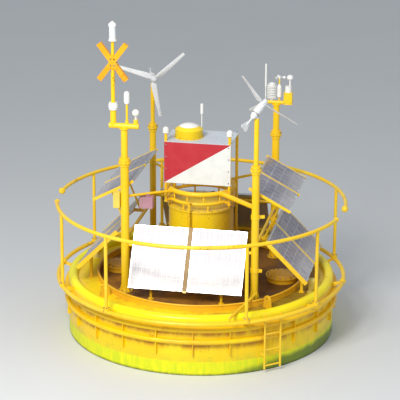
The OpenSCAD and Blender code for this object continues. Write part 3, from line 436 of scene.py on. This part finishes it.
# A grip is a round bar, spun over from one foot to the other.
grip_r, grip_reach = 0.009, 0.06
bpy.ops.object.select_all(action="DESELECT")
bpy.ops.mesh.primitive_circle_add(vertices=12, radius=grip_r, fill_type="NGON",
                                  location=(grip_reach, 0, 0))
grip = bpy.context.object
edit(grip)
bpy.ops.mesh.select_all(action="SELECT")
bpy.ops.mesh.spin(steps=14, angle=-math.pi, center=(0, 0, 0), axis=(0, 1, 0), dupli=False)
bpy.ops.mesh.select_all(action="SELECT")
bpy.ops.mesh.remove_doubles(threshold=0.0001)
bpy.ops.mesh.normals_make_consistent(inside=False)
done()
pick(grip)
bpy.ops.object.transform_apply(location=True, rotation=True, scale=True)
grips = [Matrix.Translation((side * hatch_x, y, hatch_top + grip_r))
         for side in (-1, 1) for y in (-0.09, 0.09)]
settle(repeat(grip, grips), "hatch_grips", "buoy", fitting_paint)

# ---------------------------------------------------------------------------
# Masts and beams: four two-part steel tubes with flanged couplings, on feet
# bolted through the deck, tied by level tubes. Golden enamel, with weld beads at
# the feet. The lid and the cable glands of a box are modelled here too.
# ---------------------------------------------------------------------------
mast_paint = seal(enamel("mast_enamel", (0.93, 0.57, 0.008), (0.92, 0.62, 0.02), 0.9, 0.30))
dress(mast_paint, "mast_left_front", "mast_right_front", "mast_left_rear", "mast_right_rear",
      "mast_beams")
box_paint = seal(enamel("box_enamel", (0.80, 0.60, 0.06), (0.74, 0.60, 0.12), 0.7, 0.38))
dress(box_paint, "junction_box")

# Where each mast stands, and the radius of its lower tube
MASTS = {"left_front": (-0.96, -0.905, 0.062), "right_front": (0.96, -0.905, 0.055),
         "left_rear": (-0.96, 1.0, 0.050), "right_rear": (0.96, 1.0, 0.058)}
foot_plate_top, flange_top, flange_pair_t = 0.815, 2.796, 0.032
mast_feet = [place for x, y, r in MASTS.values()
             for place in ring_of((x, y), r + 0.026, foot_plate_top, 8, 22.5)]
settle(repeat(bolt(0.009), mast_feet), "mast_foot_bolts", "buoy", zinc)
heads = [place for x, y, r in MASTS.values()
         for place in ring_of((x, y), r + 0.022, flange_top, 8, 22.5)]
down, below = Matrix.Rotation(math.pi, 4, "X"), Vector((0, 0, -flange_pair_t))
nuts = [Matrix.Translation(place.translation + below) @ down for place in heads]
settle(repeat(bolt(0.006), heads + nuts), "mast_flange_bolts", "buoy", zinc)

made = Finish("weld_bead_enamel", Coat_Weight=0.2)
ripple = made.noise(120, 3, 0.6)
brown = made.noise(13, 5, 0.65).rise(0.50, 0.66)
made.set("Base Color", made.mix(brown * 0.8, (0.88, 0.50, 0.012), (0.24, 0.085, 0.015)))
made.set("Roughness", brown * 0.3 + ripple * 0.15 + 0.32)
made.bump(ripple, 0.5, 0.002)
weld_paint = made.material


def bead(name, radius, thick, places):
    """A rippled weld bead in the corner between a tube and the plate it stands on.
    Some stretches of its upper faces are sunk a little, which leaves the ripples."""
    def wave(at):
        return round(math.degrees(math.atan2(at.y, at.x)) / 5) % 3

    bpy.ops.object.select_all(action="DESELECT")
    bpy.ops.mesh.primitive_torus_add(major_radius=radius, minor_radius=thick,
                                     major_segments=72, minor_segments=8)
    ring = bpy.context.object
    edit(ring)
    choose(lambda at, facing: at.z < -thick * 0.5)
    bpy.ops.transform.resize(value=(1, 1, 0.1), center_override=(0, 0, 0))
    for step, narrower, lower in ((1, 0.996, 0.88), (2, 0.992, 0.76)):
        choose(lambda at, facing: at.z > 0 and wave(at) == step)
        bpy.ops.transform.resize(value=(narrower, narrower, lower), center_override=(0, 0, 0))
    done()
    settle(repeat(ring, places), name, "buoy", weld_paint, 60)


for name, (x, y, r) in MASTS.items():
    place = Matrix.Translation((x, y, foot_plate_top + 0.002))
    bead(f"weld_{name}_mast", r + 0.001, 0.006, [place])
bead("weld_stanchion_feet", 0.026, 0.005,
     [Matrix.Translation(polar(ring_r, azimuth, rail_foot_top + 0.0012)) for azimuth in UPRIGHTS])
post_x, post_y, post_foot = 0.475, 0.32, 0.813
bead("weld_post_feet", 0.023, 0.005,
     [Matrix.Translation((side * post_x, post_y, post_foot)) for side in (-1, 1)])

# Turns a piece that points up so that it points to the front
TO_FRONT = Matrix.Rotation(math.pi / 2, 4, "X")


def lid(width, height, deep):
    """A gasketed box lid facing -Y: a pressed field, rounded corners and four captive screws."""
    rim, groove, pressed, corner_r, screw_in = 0.016, 0.005, 0.0025, 0.008, 0.009
    bpy.ops.object.select_all(action="DESELECT")
    bpy.ops.mesh.primitive_cube_add(size=1, location=(0, -deep / 2, 0), scale=(width, deep, height))
    cover = bpy.context.object
    bpy.ops.object.transform_apply(location=True, rotation=True, scale=True)
    edit(cover)
    choose(lambda at, facing: facing.y < -0.9)
    bpy.ops.mesh.inset(thickness=rim)
    bpy.ops.mesh.inset(thickness=groove, depth=-pressed)
    choose(lambda at, along: abs(along.y) > 0.9 and abs(at.x) > width * 0.49, "edges")
    bpy.ops.mesh.bevel(offset=corner_r, segments=4, affect="EDGES")
    done()
    across, up = width / 2 - screw_in, height / 2 - screw_in
    corners = [Matrix.Translation((i * across, -deep, k * up)) @ TO_FRONT
               for i in (-1, 1) for k in (-1, 1)]
    pick(cover, repeat(bolt(0.0035), corners))
    bpy.ops.object.join()
    return bpy.context.object


def gland():
    """A cable gland pointing down from the origin: lock nut, body, cap and cable end."""
    nut_r, nut_h, rim, body_h, cap_h, end_h, taper = 0.013, 0.006, 0.003, 0.010, 0.006, 0.004, 0.55
    bpy.ops.object.select_all(action="DESELECT")
    bpy.ops.mesh.primitive_cylinder_add(vertices=6, radius=nut_r, depth=nut_h,
                                        location=(0, 0, -nut_h / 2))
    edit(bpy.context.object)
    choose(lambda at, facing: facing.z < -0.9)
    bpy.ops.mesh.inset(thickness=rim)
    bpy.ops.mesh.extrude_region_move(TRANSFORM_OT_translate={"value": (0, 0, -body_h)})
    bpy.ops.mesh.extrude_region_move(TRANSFORM_OT_translate={"value": (0, 0, -cap_h)})
    bpy.ops.transform.resize(value=(taper, taper, 1), center_override=(0, 0, 0))
    bpy.ops.mesh.extrude_region_move(TRANSFORM_OT_translate={"value": (0, 0, -end_h)})
    return done()


lid_t, lid_inset = 0.007, 0.004
low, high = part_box("junction_box")
middle = (low + high) / 2
settle(repeat(lid(high.x - low.x - lid_inset, high.z - low.z - lid_inset, lid_t),
              [Matrix.Translation((middle.x, low.y, middle.z))]),
       "junction_box_lid", "buoy", box_paint)
glands = [Matrix.Translation((middle.x + x, middle.y, low.z)) for x in (-0.028, 0, 0.028)]
low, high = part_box("brace_box")
middle = (low + high) / 2
glands += [Matrix.Translation((middle.x + x, middle.y, low.z))
           for x in (-0.0675, -0.0225, 0.0225, 0.0675)]
settle(repeat(gland(), glands), "box_glands", "buoy", zinc)

# ---------------------------------------------------------------------------
# Equipment house and tower: a welded drum with a bolted roof flange, four tube
# posts, a double ring platform and struts to the masts, all golden enamel, with
# painted shade browning the drum's right side. The plate on top is grey, and the
# small box on a strut has faded to rose.
# ---------------------------------------------------------------------------
house_paint = seal(enamel("house_enamel", (0.92, 0.54, 0.008), (0.88, 0.56, 0.02), 1.1, 0.36))
dress(house_paint, "tower_posts", "cable_pipe", "ring_platform", "tower_braces")
made, colour, dirt, height, gloss = enamel("drum_enamel", (0.93, 0.66, 0.008), (0.92, 0.60, 0.02),
                                           1.1, 0.36)
x = made.across()[0]
# Painted shade: the drum turns brown towards its right side, away from the light.
colour = made.mix(x.rise(0.20, 0.46) * 0.55, colour, (0.50, 0.21, 0.015))
dress(seal((made, colour, dirt, height, gloss)), "equipment_house")
roof_top, roof_circle = 1.95, 0.493
house_foot_top, house_foot_circle = 0.816, 0.4965
settle(repeat(bolt(0.007), ring_of((0, 0), roof_circle, roof_top, 32, 5.625)),
       "roof_flange_bolts", "buoy", zinc)
settle(repeat(bolt(0.008), ring_of((0, 0), house_foot_circle, house_foot_top, 24, 7.5)),
       "house_foot_bolts", "buoy", zinc)

made = Finish("plate_grey_paint")
dull = made.noise(5, 5, 0.6)
mark = made.noise(40, 5, 0.7).rise(0.60, 0.66)
grey = made.mix(dull, (0.50, 0.54, 0.62), (0.62, 0.66, 0.72))
made.set("Base Color", made.mix(mark, grey, (0.30, 0.22, 0.14)))
made.set("Roughness", dull * 0.2 + mark * 0.2 + 0.35)
made.bump(made.noise(160, 3, 0.6) * 0.4 - mark, 0.3, 0.001)
dress(made.material, "top_plate")
dress(seal(enamel("unit_enamel", (0.78, 0.56, 0.004), (0.76, 0.52, 0.008), 0.6, 0.40)), "top_unit")
rose_paint = seal(enamel("brace_box_enamel", (0.46, 0.22, 0.29), (0.40, 0.24, 0.28), 0.8, 0.40))
dress(rose_paint, "brace_box")
low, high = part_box("brace_box")
brace_lid_h, brace_lid_z = 0.166, low.z + 0.085
settle(repeat(lid(high.x - low.x - lid_inset, brace_lid_h, lid_t),
              [Matrix.Translation(((low.x + high.x) / 2, low.y, brace_lid_z))]),
       "brace_box_lid", "buoy", rose_paint)
low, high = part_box("top_unit")
middle = (low + high) / 2
unit_circle, unit_flange_top = (high.x - low.x) / 2 - 0.007, low.z + 0.014
settle(repeat(bolt(0.006), ring_of(middle, unit_circle, unit_flange_top, 12)),
       "unit_bolts", "buoy", zinc)
low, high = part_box("top_plate")
post_ends = [Matrix.Translation((side * post_x, post_y, high.z)) for side in (-1, 1)]
settle(repeat(bolt(0.010), post_ends), "plate_bolts", "buoy", zinc)

# ---------------------------------------------------------------------------
# Day sign: a flat aluminium sheet in two halves, red above and white below a
# diagonal, with sprayed edges that have chalked in the sun.
# ---------------------------------------------------------------------------
sign_low, sign_h, sign_w = 2.33, 0.62, 0.99
made = Finish("sign_halves", Coat_Weight=0.15)
x, y, z = made.across()
ragged = (made.noise(90, 3, 0.6) - 0.5) * 0.004
red_half = ((z - sign_low) / sign_h - (x + sign_w / 2) / sign_w + ragged) > 0.0
chalk = made.noise(6, 5, 0.65).rise(0.40, 0.75)
red = made.mix(chalk * 0.35, (0.46, 0.010, 0.022), (0.56, 0.05, 0.06))
white = made.mix(chalk * 0.5, (0.74, 0.76, 0.75), (0.62, 0.62, 0.59))
colour = made.mix(red_half, white, red)
drip = made.noise(8, 4, 0.6, stretch=(1, 1, 0.08)).rise(0.60, 0.78)
drip = drip * (sign_low + sign_h - z).rise(0.0, 0.25)
colour = made.mix(drip * 0.35, colour, (0.45, 0.30, 0.16))
made.set("Base Color", colour)
made.set("Roughness", chalk * 0.2 + 0.34)
made.bump(made.noise(120, 3, 0.5), 0.15, 0.001)
dress(made.material, "sign_panel")

sign_face, sign_hole_x = -0.3505, 0.465
sign_holes = [Matrix.Translation((side * sign_hole_x, sign_face, sign_low + up)) @ TO_FRONT
              for side in (-1, 1) for up in (0.04, 0.22, 0.40, 0.58)]
settle(repeat(bolt(0.0075), sign_holes), "sign_bolts", "buoy", zinc)

# ---------------------------------------------------------------------------
# White instruments: moulded plastic and gelcoat housings with a satin gloss,
# slightly yellowed, with dust in the runs and fine scratches. The lantern is a
# base and a hood with a clear, ribbed lens between them.
# ---------------------------------------------------------------------------
PLASTIC, PLASTIC_AGED = (0.84, 0.84, 0.83), (0.76, 0.75, 0.71)


def moulded(name, tone, aged, gloss=0.28, scratch=0.3, skirt=None):
    """White plastic. A skirt is a ring painted gold: its middle, and its inner and outer radius."""
    made = Finish(name, Coat_Weight=0.3, Coat_Roughness=0.12)
    cloud = made.noise(4.5, 5, 0.6)
    run = made.noise(22, 5, 0.6, stretch=(1, 1, 0.12)).rise(0.55, 0.80)
    spot = made.noise(75, 5, 0.7).rise(0.64, 0.70)
    colour = made.mix(cloud.rise(0.35, 0.75), tone, aged)
    if skirt:
        middle_x, middle_y, inner, outer = skirt
        x, y, _ = made.across()
        reach = ((x - middle_x) * (x - middle_x) + (y - middle_y) * (y - middle_y)) ** 0.5
        gold = made.mix(cloud, GOLD, GOLD_FADED)
        colour = made.mix((reach > inner) * (reach < outer), colour, gold)
    colour = made.mix(run * 0.30, colour, (0.36, 0.33, 0.26))
    colour = made.mix(spot * 0.5, colour, (0.30, 0.24, 0.16))
    made.set("Base Color", colour)
    made.set("Roughness", run * 0.2 + spot * 0.2 + made.noise(90, 3, 0.6) * 0.12 + gloss)
    made.bump(made.noise(420, 2, 0.5) + spot, scratch, 0.0006)
    return made.material


painted_ring = (-0.187, -0.033, 0.142, 0.21)
dress(moulded("receiver_plastic", PLASTIC, PLASTIC_AGED, skirt=painted_ring), "white_domes")
housing = moulded("instrument_plastic", PLASTIC, PLASTIC_AGED)
dress(housing, "tower_antenna", "lantern", "arm_sensors", "weather_sensors", "cup_rotor")
gelcoat = moulded("turbine_gelcoat", (0.72, 0.74, 0.76), (0.64, 0.65, 0.66), 0.24, 0.15)
dress(gelcoat, "turbine_head_left", "turbine_head_right", "turbine_rotor_left",
      "turbine_rotor_right")


def turned(profile, sides=48):
    """A round body, raised ring by ring from its foot, as radius and height pairs."""
    bpy.ops.object.select_all(action="DESELECT")
    (radius, z), *rest = profile
    bpy.ops.mesh.primitive_circle_add(vertices=sides, radius=radius, fill_type="NGON",
                                      location=(0, 0, z))
    body = bpy.context.object
    bpy.ops.object.transform_apply(location=True, rotation=True, scale=True)
    edit(body)
    bpy.ops.mesh.select_all(action="SELECT")
    for wider, higher in rest:
        bpy.ops.mesh.extrude_region_move(TRANSFORM_OT_translate={"value": (0, 0, higher - z)})
        bpy.ops.transform.resize(value=(wider / radius, wider / radius, 1),
                                 center_override=(0, 0, higher))
        radius, z = wider, higher
    bpy.ops.mesh.select_all(action="SELECT")
    bpy.ops.mesh.normals_make_consistent(inside=False)
    return done()


LANTERN_FOOT = Matrix.Translation((-1.12, -0.905, 4.555))
base = [(0.056, 0.000), (0.060, 0.003), (0.060, 0.012), (0.050, 0.016), (0.049, 0.034),
        (0.052, 0.038), (0.052, 0.047), (0.040, 0.049)]
hood = [(0.040, 0.206), (0.054, 0.207), (0.057, 0.212), (0.057, 0.238), (0.053, 0.246),
        (0.036, 0.262), (0.016, 0.274), (0.011, 0.283), (0.006, 0.285)]
shell = turned(base + hood)
ears = repeat(bolt(0.006), ring_of((0, 0), 0.0555, 0.012, 4, 45))
pick(shell, ears)
bpy.ops.object.join()
shell.data.transform(LANTERN_FOOT)
settle(shell, "lantern_housing", "buoy", housing)
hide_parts("lantern")

made = Finish("lantern_lens_acrylic", Coat_Weight=1.0, Coat_Roughness=0.04, IOR=1.49)
haze = made.noise(8, 5, 0.65)
made.set("Base Color", made.mix(haze.rise(0.35, 0.7), (0.84, 0.88, 0.90), (0.70, 0.76, 0.78)))
made.set("Roughness", haze * 0.15 + 0.05)
made.bump(made.noise(200, 2, 0.5), 0.08, 0.0004)
lens_foot, rib_h = 0.050, 0.0155
ribs = [(0.0415, lens_foot)]
for ring in range(10):
    foot = lens_foot + ring * rib_h
    ribs += [(0.0470, foot + 0.003), (0.0480, foot + 0.0078), (0.0470, foot + 0.0125),
             (0.0440, foot + rib_h)]
lens = turned(ribs)
lens.data.transform(LANTERN_FOOT)
settle(lens, "lantern_lens", "buoy", made.material, 20)
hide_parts("lantern")

# ---------------------------------------------------------------------------
# Wind turbines: gelcoat shells held by a steel band and screws, a spinner with a
# seam, and two bolts at the root of each blade. The bands, seams and bolts are
# placed on the turbines at rest and ride on their heads and rotors.
# ---------------------------------------------------------------------------
# Each turbine's side and pivot, and its heading, tilt and spin at rest in degrees
TURBINES = [("left", (-0.96, 1.0, 3.58), 20, 0, 40), ("right", (0.96, -0.905, 3.635), 140, 40, 90)]
ROTOR_AHEAD, SHELL_R, SPINNER_R = 0.15, 0.0545, 0.0485


def outward(radius, azimuth, along):
    """A place on a round body whose axis is +Z, with +Z of the piece pointing out of it."""
    return (Matrix.Rotation(math.radians(azimuth), 4, "Z") @ Matrix.Translation((radius, 0, along))
            @ Matrix.Rotation(math.pi / 2, 4, "Y"))


for name, pivot, heading, tilt, spin in TURBINES:
    head, rotor = f"turbine_head_{name}", f"turbine_rotor_{name}"
    shaft = (Matrix.Translation(pivot) @ Matrix.Rotation(math.radians(heading), 4, "Z")
             @ Matrix.Rotation(math.radians(-tilt), 4, "X") @ TO_FRONT)
    hub = (shaft @ Matrix.Translation((0, 0, ROTOR_AHEAD))
           @ Matrix.Rotation(math.radians(spin), 4, "Z"))
    band = turned([(SHELL_R, -0.050), (0.0580, -0.048), (0.0590, -0.034), (0.0560, -0.032)], 64)
    settle(repeat(band, [shaft]), f"turbine_band_{name}", head, zinc)
    screws = [shaft @ outward(SHELL_R, azimuth, 0.095) for azimuth in range(0, 360, 60)]
    settle(repeat(bolt(0.0035), screws), f"turbine_screws_{name}", head, zinc)
    ridge = turned([(0.0470, 0.014), (0.0497, 0.0145), (0.0493, 0.0185), (0.0470, 0.019)], 64)
    settle(repeat(ridge, [hub]), f"spinner_seam_{name}", rotor, gelcoat)
    studs = [hub @ outward(SPINNER_R, azimuth, along)
             for azimuth in (60, 180, 300) for along in (-0.014, 0.003)]
    settle(repeat(bolt(0.0045), studs), f"hub_bolts_{name}", rotor, zinc)

# ---------------------------------------------------------------------------
# Heads of the left front and right rear masts: a cross arm and an instrument bar
# in the masts' enamel, and a welded X topmark in a warmer orange, bolted to its
# pole. The box of the wind instrument is closed by four screws.
# ---------------------------------------------------------------------------
warm_paint = seal(enamel("topmark_enamel", (0.86, 0.34, 0.006), (0.84, 0.42, 0.014), 0.7, 0.38))
dress(warm_paint, "topmark")
dress(mast_paint, "cross_arm", "weather_head")

low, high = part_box("topmark")
topmark_x, topmark_z = -1.12, 4.25
clamp = [Matrix.Translation((topmark_x + i * 0.026, low.y, topmark_z + k * 0.045)) @ TO_FRONT
         for i in (-1, 1) for k in (-1, 1)]
settle(repeat(bolt(0.008), clamp), "topmark_bolts", "buoy", zinc)
cheek_x, cheek_face, cheek_z = 1.1375, 0.945, 3.3525
cheek = [Matrix.Translation((cheek_x + i * 0.045, cheek_face, cheek_z + k * 0.070)) @ TO_FRONT
         for i in (-1, 1) for k in (-1, 1)]
settle(repeat(bolt(0.005), cheek), "weather_box_screws", "buoy", zinc)

# ---------------------------------------------------------------------------
# Solar modules: anodised aluminium frames, and glass-faced laminates with blue
# cells in rows, silver busbars and a white back sheet between them. The frames
# sit on painted tube and angle brackets and carry cable boxes and edge clamps.
# ---------------------------------------------------------------------------
made = Finish("anodised_frame", Metallic=0.75)
brushed = made.noise(60, 3, 0.6, stretch=(1, 0.05, 1))
salt = made.noise(14, 6, 0.7).rise(0.52, 0.70)
made.set("Base Color", made.mix(salt * 0.5, (0.60, 0.62, 0.66), (0.74, 0.75, 0.76)))
made.set("Roughness", brushed * 0.15 + salt * 0.25 + 0.28)
made.bump(brushed * 0.4 + salt * 0.3, 0.2, 0.0006)
anodised = made.material
dress(anodised, "panels_front", "panels_rear", "panels_left_lower", "panels_right_lower",
      "panels_left_upper", "panels_right_upper")
dress(tube_paint, "side_panel_brackets", "side_edge_bars")
made, colour, dirt, height, gloss = enamel("bracket_enamel", TUBE_GOLD, TUBE_FADED, 0.9, 0.30)
x, y, z = made.across()
# Painted shade: a dark brown strip down the middle of the end brackets stands for the shadowed gap
# between the two modules.
strip_half_w, strip_foot = 0.029, 1.004
painted_gap_shade = (x.size() < strip_half_w) * (z > strip_foot)
brown = made.mix(made.noise(14, 5, 0.7), (0.09, 0.035, 0.02), (0.30, 0.15, 0.05))
colour = made.mix(painted_gap_shade * 0.85, colour, brown)
dress(seal((made, colour, dirt + painted_gap_shade * 0.3, height, gloss)), "end_panel_brackets")


def cells(name, columns, rows, gloss=0.30):
    """Cell rows on the laminate's own UV map, which runs from 0 to 1 over the glass."""
    made = Finish(name, Coat_Weight=gloss, Coat_Roughness=0.17, IOR=1.5, Specular_IOR_Level=0.22)
    u, v, _ = made.across(made.node("UVMap", {"uv_map": "UVMap"}))
    across, along = u * columns, v * rows
    edge_x = (across.part() - 0.5).size()
    edge_y = (along.part() - 0.5).size()
    gap = ((edge_x > 0.484) + (edge_y > 0.484) + ((edge_x + edge_y) > 0.93)) > 0.5
    bars = ((across.part() * 3).part() - 0.5).size() < 0.030
    margin = (((u - 0.5).size() > 0.494) + ((v - 0.5).size() > 0.494)) > 0.5
    grain = made.noise(3.0, 4, 0.6)
    blue = made.mix(grain.rise(0.35, 0.65), (0.090, 0.088, 0.155), (0.160, 0.140, 0.205))
    colour = made.mix(bars, blue, (0.60, 0.62, 0.64))
    colour = made.mix(gap, colour, (0.62, 0.63, 0.65))
    colour = made.mix(margin, colour, (0.66, 0.66, 0.66))
    # Pale grey over the cells, strongest at the bottom edge: partly settled dust, partly painted
    # glare.
    dust = made.noise(7, 6, 0.7).rise(0.42, 0.78)
    settled_dust_and_glare = 1 - v.rise(0.0, 0.55)
    colour = made.mix(dust * 0.35 + settled_dust_and_glare * 0.45 + 0.12, colour, (0.55, 0.53, 0.53))
    made.set("Base Color", colour)
    made.set("Roughness", dust * 0.18 + 0.26)
    made.bump(made.noise(260, 2, 0.5), 0.06, 0.0004)
    return made.material


def on_slope(turn, reach, low, slope):
    """Where a pair of modules lies: x along its lower edge, y up the slope, z out of the glass."""
    return (Matrix.Rotation(math.radians(turn), 4, "Z") @ Matrix.Translation((0, -reach, low))
            @ Matrix.Rotation(math.radians(slope), 4, "X"))


def laminate(name, plane, slant, width, shift, finish):
    """A glass sheet in its frame's pocket: a thin slab with its UV map over the face."""
    bpy.ops.object.select_all(action="DESELECT")
    bpy.ops.mesh.primitive_plane_add(size=1, location=(0, 0, 0), calc_uvs=True)
    sheet = bpy.context.object
    rim, thick, edge_r, sunk = 0.0223, 0.006, 0.0008, 0.0017
    pick(sheet)
    sheet.scale = (width - 2 * rim, slant - 2 * rim, 1)
    bpy.ops.object.transform_apply(location=False, rotation=False, scale=True)
    wall = sheet.modifiers.new("wall", "SOLIDIFY")
    wall.thickness = thick
    wall.offset = -1
    bpy.ops.object.modifier_apply(modifier="wall")
    soft = sheet.modifiers.new("soft", "BEVEL")
    soft.width = edge_r
    soft.segments = 2
    bpy.ops.object.modifier_apply(modifier="soft")
    sheet.data.transform(plane @ Matrix.Translation((shift, slant / 2, -sunk)))
    settle(sheet, name, "buoy", finish, 10)
    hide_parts("solar_laminates")


def cable_box():
    """The moulded box on a module's back, its lid outwards along -Z."""
    width, height, deep = 0.12, 0.085, 0.022
    rim, groove, lid_edge, lid_h, corner_r = 0.004, 0.002, 0.003, 0.005, 0.008
    bpy.ops.object.select_all(action="DESELECT")
    bpy.ops.mesh.primitive_cube_add(size=1, location=(0, 0, -deep / 2), scale=(width, height, deep))
    case = bpy.context.object
    bpy.ops.object.transform_apply(location=True, rotation=True, scale=True)
    edit(case)
    choose(lambda at, facing: facing.z < -0.9)
    bpy.ops.mesh.inset(thickness=rim)
    bpy.ops.mesh.extrude_region_move(TRANSFORM_OT_translate={"value": (0, 0, groove)})
    bpy.ops.mesh.inset(thickness=lid_edge)
    bpy.ops.mesh.extrude_region_move(TRANSFORM_OT_translate={"value": (0, 0, -lid_h)})
    choose(lambda at, along: abs(along.z) > 0.9 and abs(at.x) > width * 0.48, "edges")
    bpy.ops.mesh.bevel(offset=corner_r, segments=4, affect="EDGES")
    return done()


def edge_clamp():
    """A folded clamp over a module's rim, with its bolt."""
    width, reach, thick, drop, fold_r = 0.05, 0.024, 0.004, 0.028, 0.002
    bpy.ops.object.select_all(action="DESELECT")
    bpy.ops.mesh.primitive_cube_add(size=1, location=(0, 0, thick / 2), scale=(width, reach, thick))
    clip = bpy.context.object
    bpy.ops.object.transform_apply(location=True, rotation=True, scale=True)
    edit(clip)
    choose(lambda at, facing: facing.y < -0.9)
    bpy.ops.mesh.extrude_region_move(TRANSFORM_OT_translate={"value": (0, -thick, 0)})
    choose(lambda at, facing: facing.z < -0.9 and at.y < -reach / 2)
    bpy.ops.mesh.extrude_region_move(TRANSFORM_OT_translate={"value": (0, 0, -drop)})
    choose(lambda at, along: abs(along.z) > 0.9, "edges")
    bpy.ops.mesh.bevel(offset=fold_r, segments=2, affect="EDGES")
    done()
    stud = repeat(bolt(0.006), [Matrix.Translation((0, -0.001, thick))])
    pick(clip, stud)
    bpy.ops.object.join()
    return bpy.context.object


end_cells = cells("cells_5_by_6", 5, 6, 0.39)
low_cells, up_cells = cells("cells_5_by_5", 5, 5), cells("cells_5_by_4", 5, 4)
# Each pair: its name, turn, reach and height of the lower edge, slope, length up the
# slope, and the width and shift of one module
GROUPS = [("front", 0, 1.30, 1.0, 58, 0.943, 0.8, 0.435, end_cells),
          ("rear", 180, 1.50, 1.0, 58, 0.943, 0.8, 0.435, end_cells),
          ("left_lower", -90, 1.72, 1.1, 45, 0.834, 0.815, 0.4225, low_cells),
          ("right_lower", 90, 1.72, 1.1, 45, 0.834, 0.815, 0.4225, low_cells),
          ("left_upper", -90, 1.45, 2.17, 28.1, 0.658, 0.815, 0.4225, up_cells),
          ("right_upper", 90, 1.45, 2.17, 28.1, 0.658, 0.815, 0.4225, up_cells)]
half_turn = Matrix.Rotation(math.pi, 4, "Z")
box_inward, box_up, module_back = 0.13, 0.60, -0.0352
clamp_apart, clamp_in, rim_top = 0.27, 0.012, 0.0004
boxes, clips = [], []
for name, turn, reach, low, slope, slant, width, shift, finish in GROUPS:
    plane = on_slope(turn, reach, low, slope)
    for mark, side in (("a", -1), ("b", 1)):
        laminate(f"laminate_{name}_{mark}", plane, slant, width, side * shift, finish)
        x = side * (shift - box_inward)
        boxes.append(plane @ Matrix.Translation((x, slant * box_up, module_back)))
        for along in (-clamp_apart, clamp_apart):
            x = side * shift + along
            clips.append(plane @ Matrix.Translation((x, clamp_in, rim_top)))
            clips.append(plane @ Matrix.Translation((x, slant - clamp_in, rim_top)) @ half_turn)
black = Finish("black_box_plastic", Coat_Weight=0.1)
wear = black.noise(30, 4, 0.6)
black.set("Base Color", black.mix(wear, (0.020, 0.020, 0.022), (0.055, 0.052, 0.05)))
black.set("Roughness", wear * 0.2 + 0.42)
black.bump(black.noise(380, 2, 0.5), 0.25, 0.0005)
settle(repeat(cable_box(), boxes), "module_cable_boxes", "buoy", black.material)
settle(repeat(edge_clamp(), clips), "module_clamps", "buoy", anodised)

# ---------------------------------------------------------------------------
# Keel, counterweight and mooring eye: a welded steel column under the hull, with
# a cast iron weight round its foot and an eye cut from thick plate. All of it is
# coated black, and slime has dulled and greened the coating.
# ---------------------------------------------------------------------------
made = Finish("keel_coating")
slime = made.noise(6, 6, 0.7)
made.set("Base Color", made.mix(slime, (0.045, 0.05, 0.05), (0.09, 0.095, 0.06)))
made.set("Roughness", slime * 0.3 + 0.45)
made.bump(made.noise(80, 5, 0.65) + slime, 0.4, 0.003)
dress(made.material, "keel_column", "counterweight", "mooring_eye")

# ---------------------------------------------------------------------------
# Studio: a plain pale floor at the waterline, one large soft light high in
# front and to the left, a weaker fill, and the camera at the photo's angle.
# ---------------------------------------------------------------------------
bpy.ops.object.select_all(action="DESELECT")
bpy.ops.mesh.primitive_plane_add(size=600, location=(0, 0, 0))
floor = bpy.context.object
floor.name = "floor"
made = Finish("studio_floor")
tone = made.noise(0.4, 3, 0.5)
made.set("Base Color", made.mix(tone, (0.62, 0.64, 0.66), (0.66, 0.68, 0.70)))
made.set("Roughness", tone * 0.1 + 0.7)
floor.data.materials.append(made.material)
floor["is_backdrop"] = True


def soft_light(name, at, aim, size, power, colour):
    """A rectangular area light, turned from its place towards an aim."""
    lamp = bpy.data.lights.new(name, "AREA")
    lamp.shape, lamp.size, lamp.size_y, lamp.energy, lamp.color = "RECTANGLE", *size, power, colour
    holder = bpy.data.objects.new(name, lamp)
    holder.location = at
    holder.rotation_euler = (Vector(aim) - Vector(at)).to_track_quat("-Z", "Y").to_euler()
    bpy.context.collection.objects.link(holder)


soft_light("key_light", (-2.45, -10.65, 10.55), (0, -1.05, 1.4), (4.6, 3.8), 1750,
           (1.0, 0.97, 0.91))
soft_light("fill_light", (9, -6, 7), (0, 0, 1.2), (7.0, 7.0), 130, (0.92, 0.95, 1.0))

world = bpy.data.worlds.new("studio_air")
bpy.context.scene.world = world
world.use_nodes = True
world.node_tree.nodes["Background"].inputs["Color"].default_value = (0.80, 0.84, 0.88, 1)
world.node_tree.nodes["Background"].inputs["Strength"].default_value = 0.60
bpy.context.scene.view_settings.view_transform = "Standard"

optics = bpy.data.cameras.new("photo_camera")
optics.lens, optics.sensor_width = 157.919, 36
camera = bpy.data.objects.new("photo_camera", optics)
camera.location = (4.6384, -24.4933, 10.1039)
camera.rotation_euler = [math.radians(a) for a in (71.9413, -0.2859, 10.8662)]
bpy.context.collection.objects.link(camera)
bpy.context.scene.camera = camera

low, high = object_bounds()
